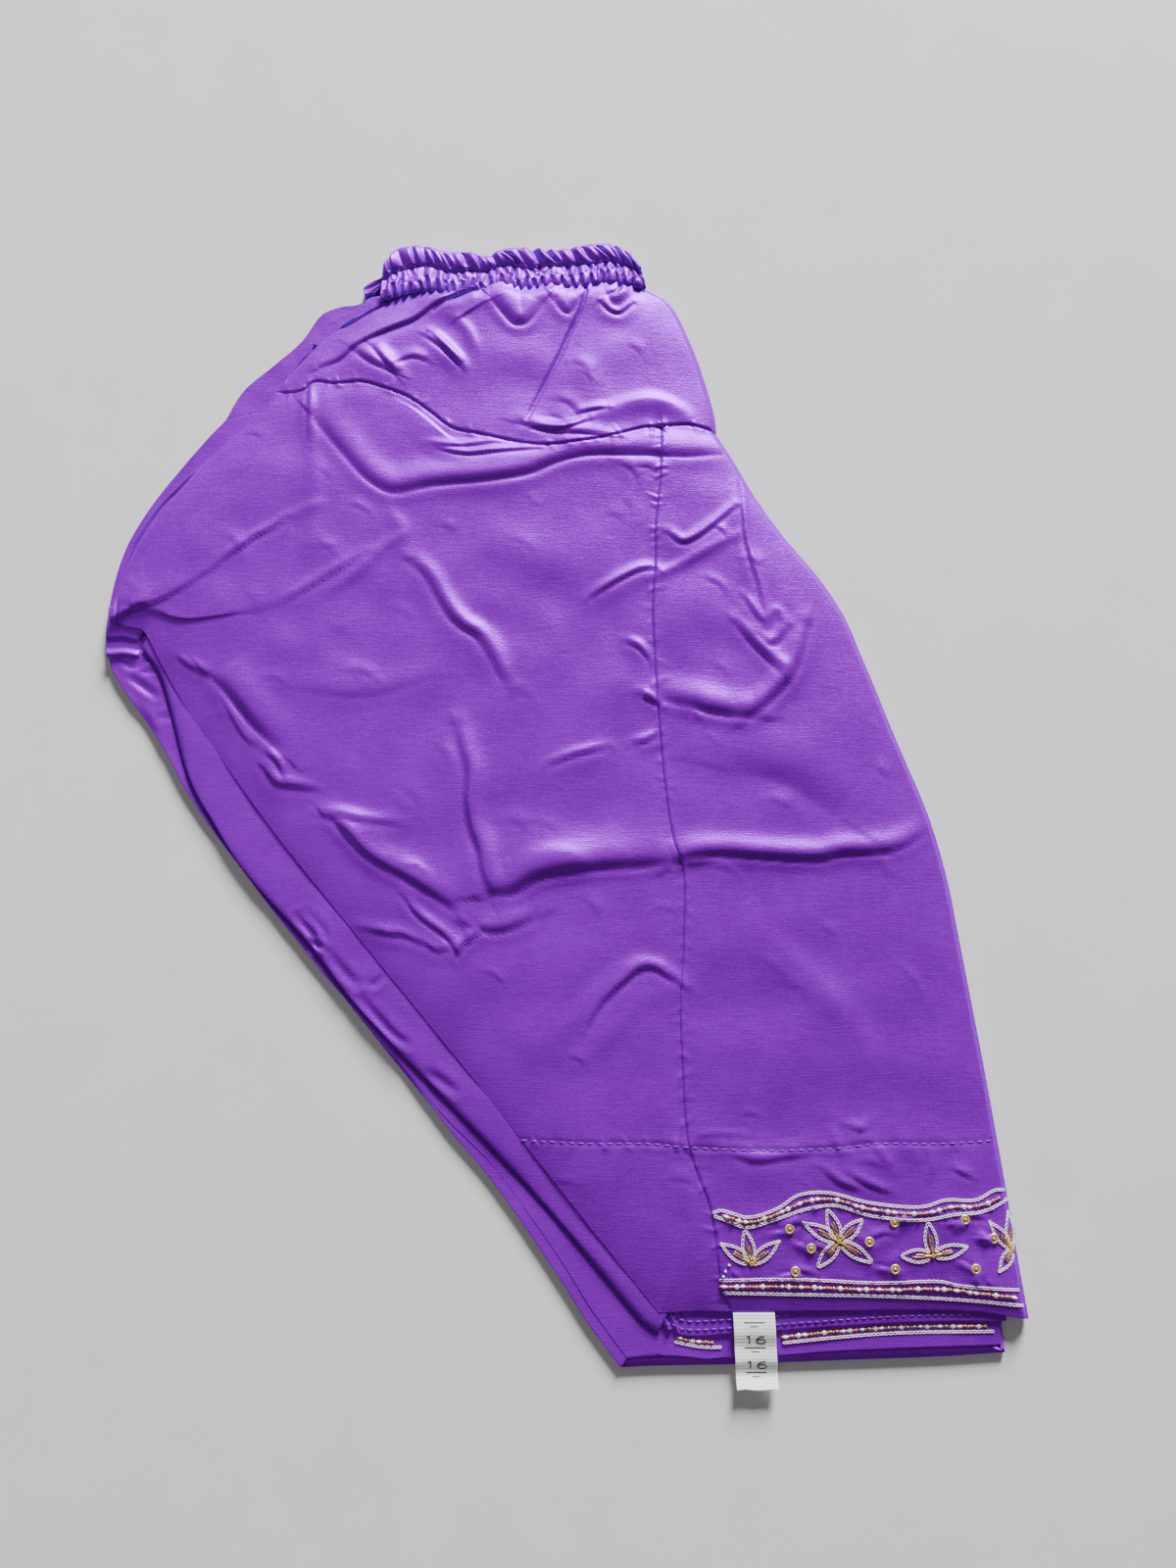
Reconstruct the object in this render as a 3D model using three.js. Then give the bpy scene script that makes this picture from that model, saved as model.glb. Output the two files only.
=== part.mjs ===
// Child's salwar trousers in satin: gathered waistband, yoke, gored legs and bordered hems.
// They lie flat, folded in half along the centre, with one leg on top of the other.
// Millimetres. X runs across the folded garment, Y from hem to waist, Z up from the surface.
// The origin is the middle of the footprint.
import * as THREE from 'three';

// Cloth and seams
const CLOTH = 1.2; // thickness of one drawn wall of cloth
const SEAM_GAP = 0.3; // clearance between two pieces
const EDGE_ROUND = 0.35; // how far the faces stop short of a rounded edge

// Heights of the four plies along the garment's edges
const PLY = CLOTH + SEAM_GAP;
const UNDER_BACK_TOP = CLOTH;
const UNDER_FRONT_TOP = UNDER_BACK_TOP + PLY;
const UPPER_BACK_TOP = UNDER_FRONT_TOP + PLY;
const UPPER_FRONT_TOP = UPPER_BACK_TOP + PLY;

// How the top leg billows between its edges
const PUFF = 4.2; // rise of the middle over the edges
const PUFF_REACH = 17; // distance from an edge over which it rises
const WAIST_RISE = 0.6; // the yoke climbs towards the thick waistband
const WAIST_REACH = 16;
const SEAM_DIP = 1.0; // a sewn seam pulls the cloth down
const SEAM_REACH = 3.2;
const FOLD_DROP = 2.3; // the outer fold turns down around the plies below
const FOLD_REACH = 2.6;
const TUCK = 7; // how far a lower ply reaches in under the one above

// Grids of the large pieces
const GORE_COLUMNS = 20;
const CENTRE_STEPS = [0, 0.13, 0.26, 0.39, 0.52, 0.65, 0.78, 0.89, 0.97, 1]; // closer at the fold
const YOKE_ROWS = 9;
const LEG_ROWS = 36;
const GORE_SHARE = 0.84; // share of the yoke's width that lies over the gore

// Waistband
const GATHERS = 24; // gathers across the folded band
const COLUMNS_PER_GATHER = 3;
const BAND_ROWS = 6;
const BAND_UNDERSIDE = UPPER_BACK_TOP + SEAM_GAP;
const BAND_BODY = 2.6; // thickness along the band's edges
const CHANNEL_STITCH = 0.49; // share of the band's height that the ruffle takes
const HEADER_PUFF = 2.0; // ruffle above the channel stitching
const CHANNEL_PUFF = 1.5; // elastic channel below it
const GATHER_DEPTH = 0.75;
const RUFFLE_LEAN = 1.3; // the ruffle's gathers lean by this many gathers
const CHANNEL_LEAN = 0.5;
const SCALLOP = 0.5; // the gathers wave the band's top edge
const UNDER_BAND_POINTS = 46; // points around the lower band's outline
const UNDER_BAND_PLIES = 3;
const PLY_GROOVE = 0.45; // depth of the groove between two plies

// Size label, sewn inside the top hem and hanging out over the hem below
const LABEL_LEFT = 76.6;
const LABEL_WIDTH = 16.5;
const LABEL_LEAN = 0.04; // sideways per millimetre down
const LABEL_ROWS = 14;

// Facing inside the top hem
const FACING_LEFT = 52;
const FACING_DEPTH = 14;
const LOW_HEM_DEPTH = 24; // how far the lower hem is drawn in under the top leg

// Hidden plies inside
const CORE_COLUMNS = 10;
const CORE_ROWS = 24;
const CORE_CLEAR = TUCK + 2.2; // a hidden ply stops this far inside a visible edge
const CORE_EDGE = 0.5; // the lowest ply's rounded edge
const CORE_REACH = 20; // the core stays under the lowest cloth within this distance

const at = (x, y) => new THREE.Vector2(x, y);
const route = (...pairs) => pairs.map(([x, y]) => at(x, y));

// Outlines, as points that smooth curves pass through
const OUTLINE = {
  bandTop: route([-76.8, 241.5], [-71.5, 248], [-59.5, 249.6], [-47, 246.5], [-36, 246.3], [-30.5, 244],
    [-20, 248.4], [5, 247.5], [19, 250.6], [30, 250.2], [37.5, 246], [42, 239.5]),
  bandLow: route([-78, 222.5], [-66, 226.2], [-57, 227.8], [-50, 227], [-44, 225], [-35.5, 227.7],
    [-30.5, 227], [-21.5, 230], [-12, 228], [3, 230.2], [10.5, 229], [27, 231.6], [45, 229]),
  bandLoop: route([-76, 240], [-78.5, 236], [-81.5, 233], [-85, 232], [-87.3, 229.3], [-86.6, 226.4],
    [-83, 226.5], [-79.5, 228.3], [-72, 228], [-66, 227.4]),
  yokeLeft: route([-66, 226.2], [-74, 222.5], [-86.5, 216], [-99, 208], [-108.5, 198.5], [-114, 193],
    [-124.8, 176]),
  yokeRight: route([45, 229], [56, 222], [65.5, 203], [72, 183], [76.5, 164], [77, 156.3]),
  yokeSeam: route([-124.8, 176], [-118, 175.4], [-111.5, 176.5], [-107, 180.3], [-98.5, 179], [-85, 179.5],
    [-73.5, 176], [-64, 172], [-53.5, 164.5], [-44, 157], [-33, 154], [-3.5, 148.3], [11.5, 149],
    [27.5, 152], [42, 156.5], [51.5, 158]),
  yokeSeamEnd: route([51.5, 158], [64, 158.8], [71.5, 157.7], [77, 156.3]),
  goreLeft: route([-124.8, 176], [-134, 164], [-144, 153.5], [-159.5, 139], [-169.5, 128], [-179.5, 115.5],
    [-185, 105.5], [-187.5, 91], [-191.5, 77], [-193.5, 65]),
  crotchStep: route([-193.5, 65], [-186, 64.4], [-179, 63]),
  inseam: route([-179, 63], [-175, 56.5], [-160, 30.5], [-146, 11], [-117.5, -26.5], [-82, -69],
    [-29.5, -130.5], [6.5, -174], [31, -203.5], [47, -222.3]),
  panelSeam: route([51.5, 158], [50.5, 132.5], [48.2, 110], [48, 92.5], [46.5, 73], [47, 54.5], [51, -7],
    [54.5, -31.5], [58.5, -45], [58.3, -72], [56.5, -104.5], [57, -125], [59.5, -158.5], [68, -183.5],
    [72, -213.5], [75.5, -221.8]),
  centreRight: route([77, 156.3], [84, 144.5], [94, 126], [106.5, 107], [121, 88.5], [132, 70.5],
    [139, 52.5], [152.5, 15], [166, -22], [172.5, -49.5], [175.5, -70], [184, -130.5], [189, -169.5],
    [193.5, -207.5], [195.8, -225]),
  topHem: route([47, -222.3], [61, -221.5], [75.5, -221.8]),
  topHemEnd: route([75.5, -221.8], [119, -221.3], [161, -221], [178.5, -222], [195.8, -225]),
  upperBackFold: route([-179.2, 55], [-171, 44], [-164, 24.5], [-154, -5.5], [-143.5, -23], [-129.5, -43.5],
    [-99, -76], [-80.5, -99], [-40, -139.5], [-5.5, -174], [19, -201], [35, -219.5], [41.5, -226.5],
    [46.5, -229.5]),
  upperBackHem: route([47, -229.5], [52, -229], [56.5, -231], [75.5, -230.5], [105, -228.5], [147, -226],
    [186.5, -225.6]),
  midPlyEdge: route([-80, 225.6], [-84, 224.4], [-90, 218.5], [-101, 214], [-105.5, 208.5], [-109.5, 201]),
  underYokeEdge: route([-80.5, 227], [-90, 222], [-97.5, 221], [-106, 217], [-115, 203.5], [-125.5, 193],
    [-141, 178.5], [-148.5, 164]),
  underGoreEdge: route([-148.5, 164], [-156.5, 154.5], [-176.5, 127.5], [-185.5, 112], [-190, 102],
    [-193.5, 89.5], [-196, 71], [-196, 57], [-191.5, 43.5], [-188, 38], [-168.5, 11.5], [-154.5, -12],
    [-125, -50.5], [-93, -88.5]),
  underLegEdge: route([-93, -88.5], [-63, -124], [-40, -150.5], [-22.5, -170], [6, -208.5], [18.5, -227],
    [31.5, -243.6]),
  underInseam: route([-93, -88.5], [-61, -123.5], [-43, -144.5], [-20.5, -166.5], [-4.5, -187], [8, -204],
    [19.5, -221.5], [34, -240.2]),
  underHem: route([34, -240.2], [41, -239.5], [47.3, -239]),
  underHemEnd: route([47.3, -239], [56.5, -239.4], [66, -240.4], [73, -239.9], [96, -239], [116.5, -237.5],
    [160, -235.7], [184.5, -235]),
  underBackHem: route([31.5, -243.6], [46, -243], [75.5, -242.5], [117, -241], [160.5, -239.5],
    [185.8, -238]),
};

// Where hidden plies turn inside the hems
const HIDDEN = {
  underGoreEnd: route([41, -214.5], [46.5, -222], [47.3, -239]),
  secondPlyHem: route([48.6, -213], [90, -213.5], [181, -209.5]),
  thirdPlyHem: route([58, -209.5], [105, -210], [181, -207.5]),
  thirdPlyCrotch: at(-173, 77),
  lowestCorner: at(185.8, -238),
};

// Large folds of the top leg: half width, and height above the cloth, below zero for a trough
const FOLDS = [
  { name: 'under yoke', width: 5, height: -1.6,
    path: route([-52, 130], [-9, 135], [17, 141], [51, 143], [73, 146]) },
  { name: 'gore shoulder', width: 8, height: -1.3, path: route([-102, 160], [-72, 122], [-65, 108]) },
  { name: 'shoulder side', width: 5, height: -1.0, path: route([-113, 187], [-109, 164], [-108, 127]) },
  { name: 'upper belly', width: 7, height: -1.6, path: route([-51, 78], [-47, 68], [-31, 59], [-19, 38]) },
  { name: 'long belly', width: 8, height: -2.0,
    path: route([-39, 16], [-33, -17], [-30, -44], [-23, -54], [2, -42]) },
  { name: 'crotch diagonal', width: 6, height: -1.6,
    path: route([-165, 60], [-146, 42], [-134, 28], [-117, 12]) },
  { name: 'thigh high', width: 5, height: -1.0, path: route([-119, -5], [-97, -10]) },
  { name: 'thigh middle', width: 6, height: -1.2, path: route([-97, -21], [-65, -24]) },
  { name: 'thigh low', width: 7, height: -1.5, path: route([-91, -24], [-72, -43], [-59, -48], [-40, -59]) },
  { name: 'knee hook', width: 7, height: -1.8, path: route([-60, -56], [-55, -64], [-37, -77], [-12, -69]) },
  { name: 'centre top', width: 6, height: -1.4, path: route([55, 103], [66, 104], [85, 120]) },
  { name: 'centre hollow', width: 7, height: -1.6, path: route([116, 65], [111, 46], [97, 29]) },
  { name: 'centre diagonal', width: 6, height: -1.1, path: route([76, 66], [101, 43]) },
  { name: 'centre shelf', width: 6, height: -1.0, path: route([52, 31], [90, 24]) },
  { name: 'seam pucker high', width: 5, height: -1.0, path: route([21, 77], [34, 84], [45, 90]) },
  { name: 'seam pucker low', width: 5, height: -1.0, path: route([3, 0], [28, 8]) },
  { name: 'knee crease', width: 5, height: -2.0, path: route([-7, -45], [18, -45], [56, -42]) },
  { name: 'knee crease end', width: 5, height: -2.2,
    path: route([59, -37], [85, -40], [116, -41], [135, -37], [164, -27]) },
  { name: 'shin peak', width: 6, height: 1.2, path: route([31, -98], [42, -86], [55, -93]) },
  { name: 'shin ridge', width: 9, height: 1.2, path: route([85, -64], [117, -96], [135, -125]) },
  { name: 'hem drag', width: 5, height: -1.0, path: route([118, -162], [133, -174]) },
  { name: 'yoke crease', width: 5, height: -1.5, path: route([18, 227], [14, 212], [6, 192], [-8, 163]) },
  { name: 'yoke smile', width: 4, height: -1.3, path: route([25, 218], [31, 215], [39, 219]) },
  { name: 'yoke vee', width: 5, height: -1.1, path: route([-23, 219], [-15, 208], [-4, 220]) },
  { name: 'yoke fold edge', width: 5, height: -1.4,
    path: route([-61, 214], [-72, 209], [-89, 196], [-103, 188]) },
  { name: 'yoke pleat', width: 5, height: 1.3, path: route([-54, 215], [-41, 221], [-29, 225]) },
  { name: 'yoke roll', width: 6, height: 1.4, path: route([29, 162], [51, 167], [67, 165]) },
];

// Tucks at the crotch: the cloth on the left of each path stands one step higher
const TUCKS = [
  { name: 'crotch flap', step: 2.4, reach: 26,
    path: route([-193, 66], [-180, 72], [-174, 73.5], [-159, 82], [-136, 99], [-112, 117]) },
  { name: 'crotch wedge', step: 1.5, reach: 20,
    path: route([-174, 70], [-161, 66], [-145, 67], [-115, 74], [-97, 86]) },
];

// Lips of the turned cloth where the crotch opens: left and right edges
const CROTCH_LIPS = [
  { name: 'crotch_lip_upper',
    left: route([-195.3, 74], [-195.3, 60.6]), right: route([-176.4, 74], [-180.4, 58.8]) },
  { name: 'crotch_lip_under',
    left: route([-195, 54.6], [-194.6, 51]), right: route([-181, 54], [-181, 50.6]) },
];

// The label's upper face, from its root to its curled end
const LABEL_PROFILE = [
  { y: -222.3, z: 5.9 },
  { y: -230, z: 5.8 },
  { y: -235.5, z: 4.4 },
  { y: -241, z: 4.2 },
  { y: -246, z: 2.6 },
  { y: -251.6, z: 4.4 },
];

// Curves and grids

function smoothLine(points, steps = 10) {
  const spatial = points.map((p) => new THREE.Vector3(p.x, p.y, 0));
  const curve = new THREE.CatmullRomCurve3(spatial, false, 'centripetal');
  const count = (points.length - 1) * steps;
  return Array.from({ length: count + 1 }, (_, i) => {
    const p = curve.getPoint(i / count);
    return at(p.x, p.y);
  });
}

// One line from several that meet end to start
function joinLines(first, ...rest) {
  return rest.reduce((all, part) => all.concat(part.slice(1)), first.slice());
}
const even = (count) => Array.from({ length: count + 1 }, (_, i) => i / count);

// Points along a line at the given fractions of its length, or at a number of equal steps
function spaced(points, steps) {
  const lengths = [0];
  for (let i = 1; i < points.length; i += 1) {
    lengths.push(lengths[i - 1] + points[i].distanceTo(points[i - 1]));
  }
  const total = lengths[lengths.length - 1];
  let k = 1;
  return (Array.isArray(steps) ? steps : even(steps)).map((fraction) => {
    const target = total * fraction;
    while (k < points.length - 1 && lengths[k] < target) k += 1;
    const share = (target - lengths[k - 1]) / (lengths[k] - lengths[k - 1]);
    return points[k - 1].clone().lerp(points[k], THREE.MathUtils.clamp(share, 0, 1));
  });
}

// The same line moved sideways, to the left of its direction
function shifted(points, distance) {
  return points.map((p, i) => {
    const before = points[Math.max(i - 1, 0)];
    const after = points[Math.min(i + 1, points.length - 1)];
    const along = after.clone().sub(before).normalize();
    return at(p.x - along.y * distance, p.y + along.x * distance);
  });
}

// Coons patch between four sides whose corner points agree
function patch(top, bottom, left, right, shares = even(top.length - 1)) {
  const end = top.length - 1;
  return left.map((leftPoint, r) => {
    const v = r / (left.length - 1);
    return shares.map((u, c) => {
      const across = leftPoint.clone().lerp(right[r], u);
      const down = top[c].clone().lerp(bottom[c], v);
      const lowCorners = bottom[0].clone().lerp(bottom[end], u);
      const corners = top[0].clone().lerp(top[end], u).lerp(lowCorners, v);
      return across.add(down).sub(corners);
    });
  });
}

// A grid between two lines with the same count of points
function strip(left, right, columns) {
  return left.map((p, r) => even(columns).map((u) => p.clone().lerp(right[r], u)));
}

function nearestOn(points, x, y) {
  let best = { distance: Infinity, along: 0, side: 0 };
  for (let i = 1; i < points.length; i += 1) {
    const a = points[i - 1];
    const b = points[i];
    const dx = b.x - a.x;
    const dy = b.y - a.y;
    const share = THREE.MathUtils.clamp(((x - a.x) * dx + (y - a.y) * dy) / (dx * dx + dy * dy), 0, 1);
    const distance = Math.hypot(x - a.x - share * dx, y - a.y - share * dy);
    if (distance < best.distance) {
      const side = Math.sign(dx * (y - a.y) - dy * (x - a.x));
      best = { distance, along: (i - 1 + share) / (points.length - 1), side };
    }
  }
  return best;
}

// The rim of a grid, counter-clockwise from its top left corner
function rimOrder(rows, columns) {
  const order = [];
  for (let r = 0; r < rows - 1; r += 1) order.push([r, 0]);
  for (let c = 0; c < columns - 1; c += 1) order.push([rows - 1, c]);
  for (let r = rows - 1; r > 0; r -= 1) order.push([r, columns - 1]);
  for (let c = columns - 1; c > 0; c -= 1) order.push([0, c]);
  return order;
}

// Height of the top leg's outer face

const line = {};
for (const [name, points] of Object.entries(OUTLINE)) line[name] = smoothLine(points);
const outerFold = joinLines(line.yokeRight, line.centreRight);
const topLegEdges = [
  joinLines(line.yokeLeft, line.goreLeft, line.crotchStep, line.inseam, line.topHem, line.topHemEnd),
  outerFold,
];
const sewnSeams = [line.yokeSeam, line.yokeSeamEnd, line.panelSeam];
const folds = FOLDS.map((fold) => ({ ...fold, path: smoothLine(fold.path, 6) }));
const tucks = TUCKS.map((tuck) => ({ ...tuck, path: smoothLine(tuck.path, 6) }));
const bell = (t) => Math.exp(-t * t);
const taper = (along) => Math.sqrt(Math.sin(Math.PI * (0.05 + 0.9 * along)));

function topLegHeight(x, y) {
  const toEdge = Math.min(...topLegEdges.map((edge) => nearestOn(edge, x, y).distance));
  const rise = 1 - Math.exp(-toEdge / PUFF_REACH);
  const seamPull = SEAM_DIP * Math.min(1, toEdge / FOLD_REACH);
  let z = UPPER_FRONT_TOP + PUFF * rise;
  z += WAIST_RISE * bell(nearestOn(line.bandLow, x, y).distance / WAIST_REACH);
  for (const seam of sewnSeams) {
    z -= seamPull * bell(nearestOn(seam, x, y).distance / SEAM_REACH);
  }
  for (const fold of folds) {
    const near = nearestOn(fold.path, x, y);
    z += fold.height * taper(near.along) * rise * bell(near.distance / fold.width);
  }
  for (const tuck of tucks) {
    const near = nearestOn(tuck.path, x, y);
    if (near.side > 0) z += tuck.step * (1 - near.along) * Math.max(0, 1 - near.distance / tuck.reach);
  }
  const toFold = nearestOn(outerFold, x, y).distance;
  return z - FOLD_DROP * Math.max(0, 1 - toFold / FOLD_REACH);
}

const underTopLeg = (x, y) => topLegHeight(x, y) - CLOTH;
const flat = (z) => () => z;

// Closed solids

// Turns the faces outwards and gives the geometry its normals
function closedGeometry(positions, indices) {
  const corner = (i) => new THREE.Vector3().fromArray(positions, indices[i] * 3);
  let volume = 0;
  for (let i = 0; i < indices.length; i += 3) volume += corner(i).dot(corner(i + 1).cross(corner(i + 2)));
  const geometry = new THREE.BufferGeometry();
  geometry.setAttribute('position', new THREE.Float32BufferAttribute(positions, 3));
  geometry.setIndex(volume > 0 ? indices : indices.slice().reverse());
  geometry.computeVertexNormals();
  return geometry;
}

// Wall of cloth from a grid: outer face, inner face and a rounded rim between them
function wall(grid, outerHeight, innerHeight, inset = SEAM_GAP / 2) {
  const rows = grid.length;
  const columns = grid[0].length;
  const positions = [];
  const indices = [];
  const onRim = (r, c) => r === 0 || c === 0 || r === rows - 1 || c === columns - 1;
  const inward = (r, c, distance) => {
    const inner = grid[THREE.MathUtils.clamp(r, 1, rows - 2)][THREE.MathUtils.clamp(c, 1, columns - 2)];
    const step = inner.clone().sub(grid[r][c]);
    return grid[r][c].clone().add(step.setLength(Math.min(distance, step.length() * 0.4)));
  };
  const addFace = (height) => {
    const start = positions.length / 3;
    for (let r = 0; r < rows; r += 1) {
      for (let c = 0; c < columns; c += 1) {
        const p = onRim(r, c) ? inward(r, c, inset + EDGE_ROUND) : grid[r][c];
        positions.push(p.x, p.y, height(grid[r][c].x, grid[r][c].y));
      }
    }
    return (r, c) => start + r * columns + c;
  };
  const outer = addFace(outerHeight);
  const inner = addFace(innerHeight);
  for (let r = 0; r < rows - 1; r += 1) {
    for (let c = 0; c < columns - 1; c += 1) {
      indices.push(outer(r, c), outer(r + 1, c), outer(r, c + 1));
      indices.push(outer(r, c + 1), outer(r + 1, c), outer(r + 1, c + 1));
      indices.push(inner(r, c), inner(r, c + 1), inner(r + 1, c));
      indices.push(inner(r, c + 1), inner(r + 1, c + 1), inner(r + 1, c));
    }
  }
  const rim = rimOrder(rows, columns);
  const rimStart = positions.length / 3;
  for (const [r, c] of rim) {
    const p = inward(r, c, inset);
    const { x, y } = grid[r][c];
    positions.push(p.x, p.y, (outerHeight(x, y) + innerHeight(x, y)) / 2);
  }
  rim.forEach(([r, c], k) => {
    const next = (k + 1) % rim.length;
    const [nextRow, nextColumn] = rim[next];
    const middle = rimStart + k;
    const nextMiddle = rimStart + next;
    indices.push(outer(r, c), middle, outer(nextRow, nextColumn));
    indices.push(outer(nextRow, nextColumn), middle, nextMiddle);
    indices.push(middle, inner(r, c), nextMiddle);
    indices.push(nextMiddle, inner(r, c), inner(nextRow, nextColumn));
  });
  return closedGeometry(positions, indices);
}

// The sides and the flat bottom that every stack of rings has
function startStack(rings) {
  const positions = rings.flatMap(({ outline, z }) => outline.flatMap((p) => [p.x, p.y, z]));
  const indices = [];
  const count = rings[0].outline.length;
  const corner = (ring, i) => ring * count + (i % count);
  for (let k = 0; k < rings.length - 1; k += 1) {
    for (let i = 0; i < count; i += 1) {
      indices.push(corner(k, i), corner(k, i + 1), corner(k + 1, i));
      indices.push(corner(k + 1, i), corner(k, i + 1), corner(k + 1, i + 1));
    }
  }
  const bottom = THREE.ShapeUtils.triangulateShape(rings[0].outline, []);
  for (const [a, b, c] of bottom) indices.push(a, c, b);
  return { positions, indices, corner, bottom };
}

function flatStack(rings) {
  const { positions, indices, corner, bottom } = startStack(rings);
  const last = rings.length - 1;
  for (const [a, b, c] of bottom) indices.push(corner(last, a), corner(last, b), corner(last, c));
  return closedGeometry(positions, indices);
}

// A stack whose last ring is the rim of a grid with its own heights
function cappedStack(rings, grid, height) {
  const { positions, indices, corner } = startStack(rings);
  const rows = grid.length;
  const columns = grid[0].length;
  const index = grid.map(() => []);
  rimOrder(rows, columns).forEach(([r, c], i) => { index[r][c] = corner(rings.length - 1, i); });
  for (let r = 1; r < rows - 1; r += 1) {
    for (let c = 1; c < columns - 1; c += 1) {
      index[r][c] = positions.length / 3;
      positions.push(grid[r][c].x, grid[r][c].y, height(grid[r][c].x, grid[r][c].y));
    }
  }
  for (let r = 0; r < rows - 1; r += 1) {
    for (let c = 0; c < columns - 1; c += 1) {
      indices.push(index[r][c], index[r + 1][c], index[r][c + 1]);
      indices.push(index[r][c + 1], index[r + 1][c], index[r + 1][c + 1]);
    }
  }
  return closedGeometry(positions, indices);
}

// Materials and pieces

const SATIN_OUTER = 0x6a1fc4;
const SATIN_SHADE = 0x4f159c;
const LABEL_WHITE = 0xf1f3ee;
const cloth = (color, roughness) => new THREE.MeshStandardMaterial({ color, roughness, metalness: 0 });
const outerSatin = () => cloth(SATIN_OUTER, 0.42);
const shadedSatin = () => cloth(SATIN_SHADE, 0.45);
const labelTape = () => cloth(LABEL_WHITE, 0.7);

const salwar = new THREE.Group();

function add(name, geometry, material) {
  const mesh = new THREE.Mesh(geometry, material);
  mesh.name = name;
  salwar.add(mesh);
}

// One ply drawn as a flat wall under the given top height
const plyWall = (grid, top) => wall(grid, flat(top), flat(top - CLOTH));

// The hidden plies of both legs as one solid with layered edges and a flat underside
function addCore() {
  const bandSide = shifted(line.bandLow.filter((p) => p.x > -62 && p.x < 40), -4 * SEAM_GAP);
  // One ply's four sides: left edge, hem, outer fold moved in, and the line under the waistband
  const ply = (left, hem, foldInset) => {
    const corner = hem[hem.length - 1];
    const foldPart = outerFold.filter((p) => p.y < 226 && p.y > corner.y + 8);
    const right = [...shifted(foldPart, -foldInset), corner];
    const leftSide = [...left.slice(0, -1), hem[0]];
    return {
      left: spaced(leftSide, CORE_ROWS),
      hem: spaced(hem, CORE_COLUMNS),
      right: spaced(right, CORE_ROWS),
      waist: spaced([left[0], ...bandSide.slice(1, -1), right[0]], CORE_COLUMNS),
    };
  };
  const around = ({ left, hem, right, waist }) => [
    ...left.slice(0, -1),
    ...hem.slice(0, -1),
    ...right.slice().reverse().slice(0, -1),
    ...waist.slice().reverse().slice(0, -1),
  ];
  const yokeEdge = line.underYokeEdge.filter((p) => p.x < -84);
  const lowest = ply(
    shifted(joinLines(yokeEdge, line.underGoreEdge, line.underLegEdge), 0.4),
    [...line.underBackHem.slice(0, -1), HIDDEN.lowestCorner],
    2.5,
  );
  const second = ply(
    [
      ...shifted(line.yokeLeft, CORE_CLEAR),
      ...shifted(line.goreLeft.slice(1, -4), CORE_CLEAR),
      ...shifted(line.upperBackFold.filter((p) => p.y < 46 && p.y > -196), CORE_CLEAR),
      HIDDEN.secondPlyHem[0],
    ],
    HIDDEN.secondPlyHem,
    3.5,
  );
  const third = ply(
    [
      ...shifted(line.yokeLeft.filter((p) => p.y > 200), CORE_CLEAR),
      ...shifted(line.goreLeft.filter((p) => p.y < 172 && p.y > 92), 2),
      HIDDEN.thirdPlyCrotch,
      ...shifted(line.inseam.filter((p) => p.y < 44 && p.y > -196), CORE_CLEAR),
      HIDDEN.thirdPlyHem[0],
    ],
    HIDDEN.thirdPlyHem,
    4.5,
  );
  const outline = around(lowest);
  const middle = outline.reduce((sum, p) => sum.add(p), at(0, 0)).divideScalar(outline.length);
  const tucked = outline.map((p) => p.clone().add(middle.clone().sub(p).setLength(CORE_EDGE)));
  const rings = [
    { outline: tucked, z: 0 },
    { outline, z: 0.35 * CLOTH },
    { outline, z: 0.7 * CLOTH },
    { outline: tucked, z: UNDER_BACK_TOP },
    { outline: around(second), z: UNDER_BACK_TOP },
    { outline: around(second), z: UPPER_BACK_TOP - CLOTH },
    { outline: around(third), z: UPPER_BACK_TOP - CLOTH },
    { outline: around(third), z: UPPER_BACK_TOP },
  ];
  const directions = 24;
  const height = (x, y) => {
    let lowestNear = topLegHeight(x, y);
    for (let k = 0; k < directions; k += 1) {
      const turn = (2 * Math.PI * k) / directions;
      const reach = k % 2 ? CORE_REACH : CORE_REACH / 2;
      const near = topLegHeight(x + reach * Math.cos(turn), y + reach * Math.sin(turn));
      lowestNear = Math.min(lowestNear, near);
    }
    return Math.max(UPPER_BACK_TOP, lowestNear - CLOTH - SEAM_GAP);
  };
  const cap = patch(third.waist, third.hem, third.left, third.right);
  add('folded_core', cappedStack(rings, cap, height), shadedSatin());
}

// The plies of the waistband under its top layer, with the loop that shows at the left end
function addUnderBand() {
  const outer = joinLines(
    line.bandTop.filter((p) => p.x > -75 && p.x < 41).map((p) => at(p.x, p.y - 1.5)),
    route([42.5, 238], [44.5, 231.4]),
    line.bandLow.filter((p) => p.x > -64 && p.x < 44).map((p) => at(p.x, p.y + 1)).reverse(),
    line.bandLoop.slice().reverse(),
  );
  const crest = spaced(outer, UNDER_BAND_POINTS).slice(0, -1).reverse();
  const groove = crest.map((p, i) => {
    const before = crest[(i + crest.length - 1) % crest.length];
    const after = crest[(i + 1) % crest.length];
    const along = after.clone().sub(before).setLength(PLY_GROOVE);
    return at(p.x - along.y, p.y + along.x);
  });
  const height = UPPER_BACK_TOP / UNDER_BAND_PLIES;
  const rings = [{ outline: groove, z: 0 }];
  for (let k = 0; k < UNDER_BAND_PLIES; k += 1) {
    rings.push({ outline: crest, z: (k + 0.3) * height });
    rings.push({ outline: crest, z: (k + 0.7) * height });
    rings.push({ outline: groove, z: (k + 1) * height });
  }
  add('waistband_under', flatStack(rings), shadedSatin());
}

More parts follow.
